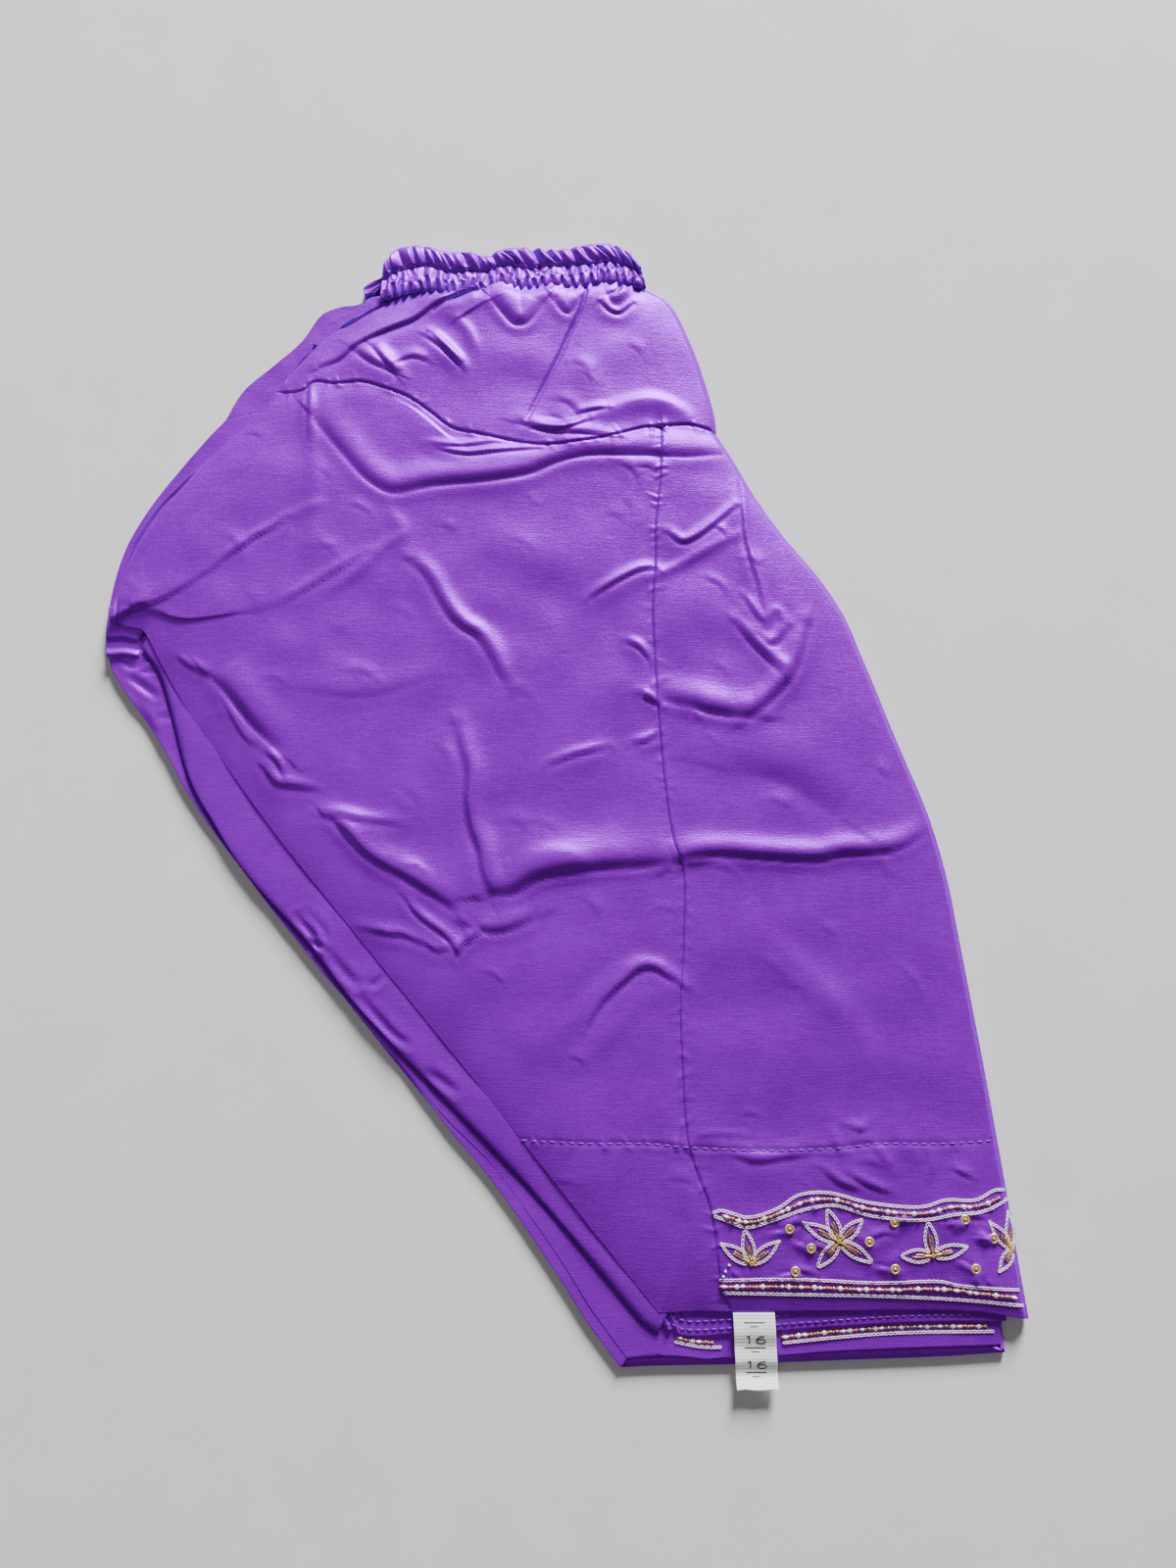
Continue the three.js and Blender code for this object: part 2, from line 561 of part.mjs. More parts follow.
// The lower leg, as far as it shows around the top one
function addLowerLeg() {
  const top = UNDER_FRONT_TOP;
  const yokeInner = shifted(line.yokeLeft, TUCK);
  const yoke = strip(spaced(line.underYokeEdge, 10), spaced(yokeInner, 10), 3);
  add('yoke_under', plyWall(yoke, top), shadedSatin());

  const edge = joinLines(line.underGoreEdge, line.underInseam);
  const hidden = [
    ...shifted(line.goreLeft, TUCK),
    ...shifted(line.upperBackFold.filter((p) => p.y > -200), TUCK).slice(1),
    ...HIDDEN.underGoreEnd,
  ];
  const across = spaced([edge[0], hidden[0]], 3);
  const leg = patch(across, spaced(line.underHem, 3), spaced(edge, LEG_ROWS), spaced(hidden, LEG_ROWS));
  add('gore_front_under', plyWall(leg, top), shadedSatin());

  const shows = (p) => p.y < -122;
  const backEdge = spaced(line.underLegEdge.filter(shows), 14);
  const backSeam = spaced(line.underInseam.filter(shows), 14);
  add('gore_back_under', plyWall(strip(backEdge, backSeam, 2), top), shadedSatin());

  const hem = spaced(line.underHemEnd, 16);
  const hemTop = hem.map((p) => at(p.x - 1, p.y + LOW_HEM_DEPTH));
  add('centre_panel_under', plyWall(strip(hem, hemTop, 3), top), shadedSatin());
}

// Back of the top leg: the strip that rolls around to the inseam and the facing inside the hem
function addUpperBack() {
  const rows = 28;
  const inner = shifted(spaced(line.inseam, rows), TUCK);
  const roll = strip(spaced(line.upperBackFold, rows), inner, 2);
  add('gore_back_upper', plyWall(roll, UPPER_BACK_TOP), shadedSatin());
  const hem = spaced(line.upperBackHem.filter((p) => p.x > FACING_LEFT), 12);
  const facing = strip(hem, hem.map((p) => at(p.x, p.y + FACING_DEPTH)), 2);
  add('hem_facing_upper', plyWall(facing, UPPER_BACK_TOP), shadedSatin());
}

// The turned band of the lower yoke beside the top one, and the two lips of the crotch
function addSmallTurns() {
  const inner = shifted(line.yokeLeft.filter((p) => p.y > 201 && p.x < -72), TUCK);
  const turn = strip(spaced(line.midPlyEdge, 8), spaced(inner, 8), 2);
  add('yoke_turn_under', plyWall(turn, UPPER_BACK_TOP), shadedSatin());
  for (const { name, left, right } of CROTCH_LIPS) {
    add(name, plyWall(strip(spaced(left, 4), spaced(right, 4), 4), UPPER_BACK_TOP), shadedSatin());
  }
}

// Yoke, gore front and centre panel of the top leg share the points of their seams
function addTopLeg() {
  const goreSide = spaced(joinLines(line.goreLeft, line.crotchStep, line.inseam), LEG_ROWS);
  const seamSide = spaced(line.panelSeam, LEG_ROWS);
  const foldSide = spaced(line.centreRight, LEG_ROWS);
  const goreTop = spaced(line.yokeSeam, GORE_COLUMNS);
  const centreTop = spaced(line.yokeSeamEnd, CENTRE_STEPS);
  const yokeSteps = [
    ...even(GORE_COLUMNS).map((u) => u * GORE_SHARE),
    ...CENTRE_STEPS.slice(1).map((u) => GORE_SHARE + u * (1 - GORE_SHARE)),
  ];
  const yokeTop = spaced(line.bandLow.filter((p) => p.x >= OUTLINE.yokeLeft[0].x - 0.01), yokeSteps);
  const yokeSides = [spaced(line.yokeLeft, YOKE_ROWS), spaced(line.yokeRight, YOKE_ROWS)];
  const yoke = patch(yokeTop, joinLines(goreTop, centreTop), ...yokeSides, yokeSteps);
  const gore = patch(goreTop, spaced(line.topHem, GORE_COLUMNS), goreSide, seamSide);
  const centre = patch(centreTop, spaced(line.topHemEnd, CENTRE_STEPS), seamSide, foldSide, CENTRE_STEPS);
  add('yoke_upper', wall(yoke, topLegHeight, underTopLeg), outerSatin());
  add('gore_front_upper', wall(gore, topLegHeight, underTopLeg), outerSatin());
  add('centre_panel_upper', wall(centre, topLegHeight, underTopLeg), outerSatin());
}

// Height of the gathered band, across by u and down by h: ruffle, stitching, elastic channel
function bandHeight(u, h) {
  const ruffle = h < CHANNEL_STITCH;
  const within = ruffle ? h / CHANNEL_STITCH : (h - CHANNEL_STITCH) / (1 - CHANNEL_STITCH);
  const arch = Math.sin(Math.PI * within);
  const lean = (ruffle ? RUFFLE_LEAN : CHANNEL_LEAN) * within;
  const drift = 0.35 * Math.sin(9 * u) + 0.2 * Math.sin(23 * u + 1);
  const wave = Math.sin(2 * Math.PI * (GATHERS * u + lean + drift));
  const puff = (ruffle ? HEADER_PUFF : CHANNEL_PUFF) * arch;
  return BAND_UNDERSIDE + BAND_BODY + puff + GATHER_DEPTH * wave * (0.35 + 0.65 * arch);
}

function addWaistband() {
  const shares = even(GATHERS * COLUMNS_PER_GATHER);
  const top = spaced(line.bandTop, shares);
  const low = spaced(line.bandLow, shares);
  const heights = new Map();
  const grid = even(BAND_ROWS).map((h) => shares.map((u, c) => {
    const point = top[c].clone().lerp(low[c], h);
    point.y += SCALLOP * (1 - h) * Math.sin(2 * Math.PI * GATHERS * u);
    heights.set(`${point.x},${point.y}`, bandHeight(u, h));
    return point;
  }));
  const outer = (x, y) => heights.get(`${x},${y}`);
  add('waistband_upper', wall(grid, outer, flat(BAND_UNDERSIDE)), outerSatin());
}

// The label drops from the top hem on to the hem below, then past it, and its end curls up
function addLabel() {
  const profile = smoothLine(LABEL_PROFILE.map(({ y, z }) => at(y, z)), 8);
  const top = (x, y) => {
    const k = Math.max(1, profile.findIndex((p) => p.x <= y));
    const share = (profile[k - 1].x - y) / (profile[k - 1].x - profile[k].x);
    return THREE.MathUtils.lerp(profile[k - 1].y, profile[k].y, THREE.MathUtils.clamp(share, 0, 1));
  };
  const rootY = LABEL_PROFILE[0].y;
  const endY = LABEL_PROFILE[LABEL_PROFILE.length - 1].y;
  const side = (x) => spaced([at(x, rootY), at(x + LABEL_LEAN * (endY - rootY), endY)], LABEL_ROWS);
  const grid = strip(side(LABEL_LEFT), side(LABEL_LEFT + LABEL_WIDTH), 3);
  add('size_label', wall(grid, top, (x, y) => top(x, y) - CLOTH, 0), labelTape());
}

addCore();
addUnderBand();
addLowerLeg();
addUpperBack();
addSmallTurns();
addTopLeg();
addWaistband();
addLabel();

export default salwar;
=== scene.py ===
# %% [markdown]
# # Child's salwar trousers, folded flat
# A salwar is the loose trouser of a salwar suit: a gathered waistband, a yoke, gored legs and a
# decorated hem. This pair is a child's, sewn from violet polyester satin, and it lies flat,
# folded in half along its centre line, so several plies of cloth lie on each other.
# The lesson goes from large to small: outline, cloth surface with its creases, the panels and
# plies, the gathered band, the stitches, and last the gold embroidery and the size label.

# %% Load the frame
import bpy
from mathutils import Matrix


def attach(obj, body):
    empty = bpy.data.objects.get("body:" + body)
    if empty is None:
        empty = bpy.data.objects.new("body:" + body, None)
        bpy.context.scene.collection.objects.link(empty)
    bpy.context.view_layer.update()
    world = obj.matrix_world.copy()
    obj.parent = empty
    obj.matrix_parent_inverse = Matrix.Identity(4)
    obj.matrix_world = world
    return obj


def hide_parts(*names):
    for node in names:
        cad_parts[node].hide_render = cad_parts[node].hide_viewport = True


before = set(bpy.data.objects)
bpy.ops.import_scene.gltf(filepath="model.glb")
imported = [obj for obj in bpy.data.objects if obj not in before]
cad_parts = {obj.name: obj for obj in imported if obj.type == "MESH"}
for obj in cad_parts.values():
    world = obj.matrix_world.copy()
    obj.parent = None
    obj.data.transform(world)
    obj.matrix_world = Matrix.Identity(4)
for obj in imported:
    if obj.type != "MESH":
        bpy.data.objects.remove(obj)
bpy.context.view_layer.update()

# %% [markdown]
# ## Libraries and units
# All cloth sizes below are in millimetres, as a tailor writes them, and one function turns them
# into Blender's metres when a mesh is made. The random helper has a fixed seed, so that every
# run gives the same creases.

# %% Libraries and units
import math
import bpy
import numpy as np
from mathutils import Vector

MM = 0.001
chance = np.random.default_rng(7)
print("solids to dress:", len(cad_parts))

# %% [markdown]
# ## Camera
# The garment is seen from almost straight above. The camera could be found by trial, but here it
# comes from the hem and waist lines: it stands half a metre over the cloth, tipped by ten
# degrees towards the waist, with the view of a phone's main lens.

# %% Camera
CAMERA_PLACE = (0.018289, -0.095826, 0.511)
CAMERA_TIP = 10  # degrees away from straight down
CAMERA_LENS = 27.2  # millimetres on a frame 36 mm high
camera_data = bpy.data.cameras.new("overhead_camera")
camera_data.sensor_fit = "VERTICAL"
camera_data.sensor_height = 36
camera_data.lens = CAMERA_LENS
camera_data.clip_start = 0.01
camera = bpy.data.objects.new("overhead_camera", camera_data)
camera.location = CAMERA_PLACE
camera.rotation_euler = (math.radians(CAMERA_TIP), 0, 0)
bpy.context.scene.collection.objects.link(camera)
bpy.context.scene.camera = camera
print("camera at", CAMERA_PLACE)

# %% [markdown]
# ## Colours and nodes
# Shades of dyed cloth are picked as sRGB hex values, while Blender's shaders work in linear
# light, so one function converts them. A second small function adds a node with its settings
# and its links, which keeps each material readable as a list of layers.

# %% Colours and nodes
def linear(hex_code):
    """sRGB hex to the linear colour that shaders use."""
    channels = [int(hex_code[i:i + 2], 16) / 255 for i in (1, 3, 5)]
    return tuple(c / 12.92 if c <= 0.04045 else ((c + 0.055) / 1.055) ** 2.4 for c in channels) + (1.0,)


def node(tree, kind, inputs=(), **settings):
    """Adds a node, sets its options, and fills or links its inputs."""
    made = tree.nodes.new(kind)
    for key, value in settings.items():
        setattr(made, key, value)
    for key, value in dict(inputs).items():
        if isinstance(value, bpy.types.NodeSocket):
            tree.links.new(value, made.inputs[key])
        else:
            made.inputs[key].default_value = value
    return made


def grain(millimetres):
    """Scale of a pattern whose spots are so many millimetres wide."""
    return 1 / (millimetres * MM)


def object_place(tree):
    """The place on the object, so that a pattern keeps its size in metres."""
    return node(tree, "ShaderNodeTexCoord").outputs["Object"]


def speckles(tree, place, millimetres, detail=2.0):
    """Noise with spots of a given size, as a share from 0 to 1."""
    made = node(tree, "ShaderNodeTexNoise", {"Vector": place, "Scale": grain(millimetres), "Detail": detail})
    return made.outputs["Fac"]


def blend_colours(tree, share, first, second):
    """A colour between two sRGB shades, by a share from 0 to 1."""
    mix = node(tree, "ShaderNodeMix", data_type="RGBA")
    tree.links.new(share, mix.inputs[0])
    mix.inputs[6].default_value = linear(first)
    mix.inputs[7].default_value = linear(second)
    return mix.outputs[2]


def new_material(name):
    """An empty material with its shader, and the tree to add layers to."""
    material = bpy.data.materials.new(name)
    material.use_nodes = True
    return material, material.node_tree, material.node_tree.nodes["Principled BSDF"]


print("violet in linear light:", [round(c, 3) for c in linear("#9C00E2")])

# %% [markdown]
# ## Polyester satin
# Satin is woven so that long floating threads cover its face, and polyester filament is smooth
# and round, so light slides along it in broad soft streaks. Light enters the dyed filaments
# before it leaves them, so even the gloss is violet. A clear coat over a flat colour would look
# like plastic, and cloth simulation says nothing about gloss. So the shader is half way to a
# metal, which tints the gloss, and its highlight is stretched across the floats. Real threads lie
# 0.1 mm apart, finer than a picture shows, so the weave is drawn as the slightly thicker
# threads, 0.35 mm apart, that a real satin also has.

# %% Polyester satin
THREAD = 0.35  # mm between the thicker threads
SLUB_LENGTH = 7  # mm
DYE_CLOUD = 22  # mm, patches in which the dye took a little more or less
THREAD_RELIEF = 0.13  # mm that the thicker threads stand up


def satin_material(name, deep, body, roughness):
    """Woven polyester satin in a dye that shifts a little between deep and body."""
    material, tree, shader = new_material(name)
    place = object_place(tree)
    weft_scale = (grain(SLUB_LENGTH), grain(THREAD), 60)
    weft_place = node(tree, "ShaderNodeMapping", {"Vector": place, "Scale": weft_scale})
    weft = node(tree, "ShaderNodeTexNoise", {"Vector": weft_place.outputs[0], "Scale": 1.0, "Detail": 2.0})
    fleck_scale = (grain(2 * THREAD), grain(2 * THREAD), 60)
    fleck_place = node(tree, "ShaderNodeMapping", {"Vector": place, "Scale": fleck_scale})
    fleck = node(tree, "ShaderNodeTexNoise", {"Vector": fleck_place.outputs[0], "Scale": 1.0, "Detail": 1.0})
    cloud = speckles(tree, place, DYE_CLOUD, 3.0)
    threads = node(tree, "ShaderNodeMath", {0: weft.outputs["Fac"], 1: fleck.outputs["Fac"]}, operation="ADD")
    shade = node(tree, "ShaderNodeMath", {0: threads.outputs[0], 1: cloud}, operation="ADD")
    share = node(tree, "ShaderNodeMapRange", {"Value": shade.outputs[0], "From Min": 1.1, "From Max": 1.9})
    tree.links.new(blend_colours(tree, share.outputs[0], deep, body), shader.inputs["Base Color"])
    gloss = node(tree, "ShaderNodeMapRange", {"Value": threads.outputs[0], "From Min": 0.7, "From Max": 1.3,
                                              "To Min": roughness - 0.04, "To Max": roughness + 0.06})
    tree.links.new(gloss.outputs[0], shader.inputs["Roughness"])
    relief = node(tree, "ShaderNodeBump", {"Height": threads.outputs[0], "Strength": 0.6,
                                           "Distance": THREAD_RELIEF * MM})
    tree.links.new(relief.outputs[0], shader.inputs["Normal"])
    floats = node(tree, "ShaderNodeTangent", direction_type="UV_MAP", uv_map="cut")
    tree.links.new(floats.outputs[0], shader.inputs["Tangent"])
    shader.inputs["IOR"].default_value = 1.57
    shader.inputs["Metallic"].default_value = 0.5
    shader.inputs["Specular IOR Level"].default_value = 0.5
    shader.inputs["Specular Tint"].default_value = linear("#9420FF")
    shader.inputs["Anisotropic"].default_value = 0.4
    shader.inputs["Sheen Weight"].default_value = 0.05
    shader.inputs["Sheen Roughness"].default_value = 0.4
    shader.inputs["Sheen Tint"].default_value = linear("#9A30FF")
    return material


satin = satin_material("polyester_satin", "#8500C0", "#9C00E2", 0.43)
# a darker, slightly rougher copy of the satin: its darker colour is painted shade for the facing in the hem
# gap and the hidden plies
shaded_satin = satin_material("polyester_satin_inside_painted_shade", "#7A00B2", "#9200D2", 0.45)
print("satin made:", satin.name, shaded_satin.name)

# %% [markdown]
# ## Lines of the cut
# Every edge of the folded garment is a free curve through a few marks, as a tailor draws with
# chalk. The solid was built from the same marks, so the cloth lies exactly on the solid.
# A curve through marks that lie unevenly is best drawn with centripetal steps, because it never
# loops between two close marks.

# %% Lines of the cut
OUTLINE = {
    "band_top": [(-76.8, 241.5), (-71.5, 248), (-59.5, 249.6), (-47, 246.5), (-36, 246.3), (-30.5, 244),
                 (-20, 248.4), (5, 247.5), (19, 250.6), (30, 250.2), (37.5, 246), (42, 239.5)],
    "band_low": [(-78, 222.5), (-66, 226.2), (-57, 227.8), (-50, 227), (-44, 225), (-35.5, 227.7),
                 (-30.5, 227), (-21.5, 230), (-12, 228), (3, 230.2), (10.5, 229), (27, 231.6), (45, 229)],
    "band_loop": [(-76, 240), (-78.5, 236), (-81.5, 233), (-85, 232), (-87.3, 229.3), (-86.6, 226.4),
                  (-83, 226.5), (-79.5, 228.3), (-72, 228), (-66, 227.4)],
    "yoke_left": [(-66, 226.2), (-74, 222.5), (-86.5, 216), (-99, 208), (-108.5, 198.5), (-114, 193),
                  (-124.8, 176)],
    "yoke_right": [(45, 229), (56, 222), (65.5, 203), (72, 183), (76.5, 164), (77, 156.3)],
    "yoke_seam": [(-124.8, 176), (-118, 175.4), (-111.5, 176.5), (-107, 180.3), (-98.5, 179), (-85, 179.5),
                  (-73.5, 176), (-64, 172), (-53.5, 164.5), (-44, 157), (-33, 154), (-3.5, 148.3),
                  (11.5, 149), (27.5, 152), (42, 156.5), (51.5, 158)],
    "yoke_seam_end": [(51.5, 158), (64, 158.8), (71.5, 157.7), (77, 156.3)],
    "gore_left": [(-124.8, 176), (-134, 164), (-144, 153.5), (-159.5, 139), (-169.5, 128), (-179.5, 115.5),
                  (-185, 105.5), (-187.5, 91), (-191.5, 77), (-193.5, 65)],
    "crotch_step": [(-193.5, 65), (-186, 64.4), (-179, 63)],
    "inseam": [(-179, 63), (-175, 56.5), (-160, 30.5), (-146, 11), (-117.5, -26.5), (-82, -69),
               (-29.5, -130.5), (6.5, -174), (31, -203.5), (47, -222.3)],
    "panel_seam": [(51.5, 158), (50.5, 132.5), (48.2, 110), (48, 92.5), (46.5, 73), (47, 54.5), (51, -7),
                   (54.5, -31.5), (58.5, -45), (58.3, -72), (56.5, -104.5), (57, -125), (59.5, -158.5),
                   (68, -183.5), (72, -213.5), (75.5, -221.8)],
    "centre_right": [(77, 156.3), (84, 144.5), (94, 126), (106.5, 107), (121, 88.5), (132, 70.5),
                     (139, 52.5), (152.5, 15), (166, -22), (172.5, -49.5), (175.5, -70), (184, -130.5),
                     (189, -169.5), (193.5, -207.5), (195.8, -225)],
    "top_hem": [(47, -222.3), (61, -221.5), (75.5, -221.8)],
    "top_hem_end": [(75.5, -221.8), (119, -221.3), (161, -221), (178.5, -222), (195.8, -225)],
    "upper_back_fold": [(-179.2, 55), (-171, 44), (-164, 24.5), (-154, -5.5), (-143.5, -23),
                        (-129.5, -43.5), (-99, -76), (-80.5, -99), (-40, -139.5), (-5.5, -174), (19, -201),
                        (35, -219.5), (41.5, -226.5), (46.5, -229.5)],
    "upper_back_hem": [(47, -229.5), (52, -229), (56.5, -231), (75.5, -230.5), (105, -228.5),
                       (147, -226), (186.5, -225.6)],
    "mid_ply_edge": [(-80, 225.6), (-84, 224.4), (-90, 218.5), (-101, 214), (-105.5, 208.5), (-109.5, 201)],
    "under_yoke_edge": [(-80.5, 227), (-90, 222), (-97.5, 221), (-106, 217), (-115, 203.5), (-125.5, 193),
                        (-141, 178.5), (-148.5, 164)],
    "under_gore_edge": [(-148.5, 164), (-156.5, 154.5), (-176.5, 127.5), (-185.5, 112), (-190, 102),
                        (-193.5, 89.5), (-196, 71), (-196, 57), (-191.5, 43.5), (-188, 38), (-168.5, 11.5),
                        (-154.5, -12), (-125, -50.5), (-93, -88.5)],
    "under_leg_edge": [(-93, -88.5), (-63, -124), (-40, -150.5), (-22.5, -170), (6, -208.5), (18.5, -227),
                       (31.5, -243.6)],
    "under_inseam": [(-93, -88.5), (-61, -123.5), (-43, -144.5), (-20.5, -166.5), (-4.5, -187), (8, -204),
                     (19.5, -221.5), (34, -240.2)],
    "under_hem": [(34, -240.2), (41, -239.5), (47.3, -239)],
    "under_hem_end": [(47.3, -239), (56.5, -239.4), (66, -240.4), (73, -239.9), (96, -239),
                      (116.5, -237.5), (160, -235.7), (184.5, -235)],
    "under_back_hem": [(31.5, -243.6), (46, -243), (75.5, -242.5), (117, -241), (160.5, -239.5),
                       (185.8, -238)],
}


def smooth(marks, steps=8):
    """A centripetal curve through the marks, as an array of points."""
    p = np.array(marks, float)
    p = np.vstack([2 * p[0] - p[1], p, 2 * p[-1] - p[-2]])
    points = []
    for i in range(1, len(p) - 2):
        a, b, c, d = p[i - 1:i + 3]
        before, span, after = (math.sqrt(math.dist(*pair)) for pair in ((a, b), (b, c), (c, d)))
        start = ((b - a) / before - (c - a) / (before + span) + (c - b) / span) * span
        end = ((c - b) / span - (d - b) / (span + after) + (d - c) / after) * span
        for t in np.arange(steps) / steps:
            rise = t * t * (3 - 2 * t)
            points.append(b + (c - b) * rise + start * (t * (1 - t) ** 2) - end * (t * t * (1 - t)))
    return np.array(points + [p[-2]])


def join(*parts):
    """One line from several that meet end to start."""
    return np.vstack([parts[0], *(part[1:] for part in parts[1:])])


line = {name: smooth(marks) for name, marks in OUTLINE.items()}
outer_fold = join(line["yoke_right"], line["centre_right"])
leg_edge = join(line["yoke_left"], line["gore_left"], line["crotch_step"], line["inseam"],
                line["top_hem"], line["top_hem_end"])
print("lines:", len(line), "points:", sum(len(points) for points in line.values()))

# %% [markdown]
# ## Measuring along a line
# Stitches, beads and seams are placed by their distance along a line, as with a tape measure.
# Its marks lie unevenly, so a share of their number would not be a share of the length.

# %% Measuring along a line
def unit(vectors):
    """The same directions, each one long."""
    return vectors / np.maximum(1e-9, np.linalg.norm(vectors, axis=1))[:, None]


def left_of(along):
    """Directions turned a quarter to the left."""
    return np.stack([-along[:, 1], along[:, 0]], axis=-1)


def lengths_along(path):
    """Length from the start of a path to each of its points."""
    return np.concatenate([[0], np.cumsum(np.hypot(*np.diff(path, axis=0).T))])


def at_length(path, stops):
    """Points of a path at given lengths from its start."""
    lengths = lengths_along(path)
    return np.stack([np.interp(stops, lengths, path[:, k]) for k in (0, 1)], axis=-1)


print("outer fold, mm:", round(float(lengths_along(outer_fold)[-1])))

# %% [markdown]
# ## A field of heights
# The upper leg is one big piece of cloth over the plies below, and its creases run across seams.
# It could be sculpted panel by panel, but then creases would break at the seams. Here the height
# of its face is kept as one field, a value each half millimetre, and every crease is pressed
# into that field as a tailor's finger would do it. All panels and stitches read the same field.

# %% A field of heights
PITCH = 0.5
WEST, EAST, SOUTH, NORTH = -206, 206, -236, 258
field_x, field_y = np.meshgrid(np.arange(WEST, EAST, PITCH), np.arange(SOUTH, NORTH, PITCH))


def near(path, x, y):
    """Distance to a path, the share along it, and the side: above zero on its left."""
    best = np.full(x.shape, 1e12)
    along = np.zeros(x.shape)
    side = np.zeros(x.shape)
    for i, (a, b) in enumerate(zip(path[:-1], path[1:])):
        run = b - a
        px, py = x - a[0], y - a[1]
        share = np.clip((px * run[0] + py * run[1]) / (run @ run), 0, 1)
        squared = (px - share * run[0]) ** 2 + (py - share * run[1]) ** 2
        closer = squared < best
        best[closer] = squared[closer]
        along[closer] = (i + share[closer]) / (len(path) - 1)
        side[closer] = (run[0] * py - run[1] * px)[closer]
    return np.sqrt(best), along, np.sign(side)


def window(path, reach):
    """The part of the field around a path."""
    low = (path.min(axis=0) - reach - (WEST, SOUTH)) / PITCH
    high = (path.max(axis=0) + reach - (WEST, SOUTH)) / PITCH
    return (slice(max(0, int(low[1])), max(0, int(high[1]) + 2)),
            slice(max(0, int(low[0])), max(0, int(high[0]) + 2)))


def bell(t):
    """A round bump: one at zero, and almost nothing beyond two."""
    return np.exp(-t * t)


def fade(along):
    """Strength of a crease along its run: nothing at its ends, full in its middle."""
    return np.sqrt(np.sin(np.pi * (0.03 + 0.94 * along)))


to_edge = np.minimum(near(leg_edge[::2], field_x, field_y)[0], near(outer_fold[::2], field_x, field_y)[0])
print("field:", field_x.shape, "widest distance from an edge, mm:", round(float(to_edge.max()), 1))

# %% [markdown]
# ## How the upper leg lies
# Its edges rest on the plies below, and its middle billows, because satin is springy and air
# stays under it. It climbs a little to the waistband and dips under it, sewn seams pull it down, and
# at the outer fold it turns down around the plies. The values are those of the solid.

# %% How the upper leg lies
EDGE_TOP = 5.7  # face of the fourth ply at its edge
PUFF, PUFF_REACH = 4.2, 17
WAIST_RISE, WAIST_REACH = 0.6, 16
WAIST_SINK, SINK_REACH = 3.0, 4.5
SEAM_DIP, STEEP_REACH, SEAM_REACH = 0.6, 0.8, 4.5  # the panel on a seam's left lies on the other
FOLD_DROP, FOLD_REACH = 2.3, 2.6

rise = 1 - np.exp(-to_edge / PUFF_REACH)
height = EDGE_TOP + PUFF * rise
to_band = near(line["band_low"][::2], field_x, field_y)[0]
height += WAIST_RISE * bell(to_band / WAIST_REACH) - WAIST_SINK * rise * bell(to_band / SINK_REACH)
for name in ("yoke_seam", "yoke_seam_end", "panel_seam"):
    part = window(line[name], 4 * SEAM_REACH)
    distance, _, side = near(line[name], field_x[part], field_y[part])
    reach = np.where(side > 0, STEEP_REACH, SEAM_REACH)
    height[part] -= SEAM_DIP * np.minimum(1, to_edge[part] / FOLD_REACH) * bell(distance / reach)
print("top of the cloth, mm:", round(float(height.max()), 2))

# %% [markdown]
# ## Creases
# These are the folds that someone sees at once: where the leg was folded for the packet, where
# the yoke hangs on the band, and where the crotch cloth bunches. A crease in satin has a steep
# side and a gentle side, so each has two widths, left and right of its run. Below zero it is a
# trough with a sharp line at its bottom, above zero a soft ridge. All have their own length,
# depth and direction.

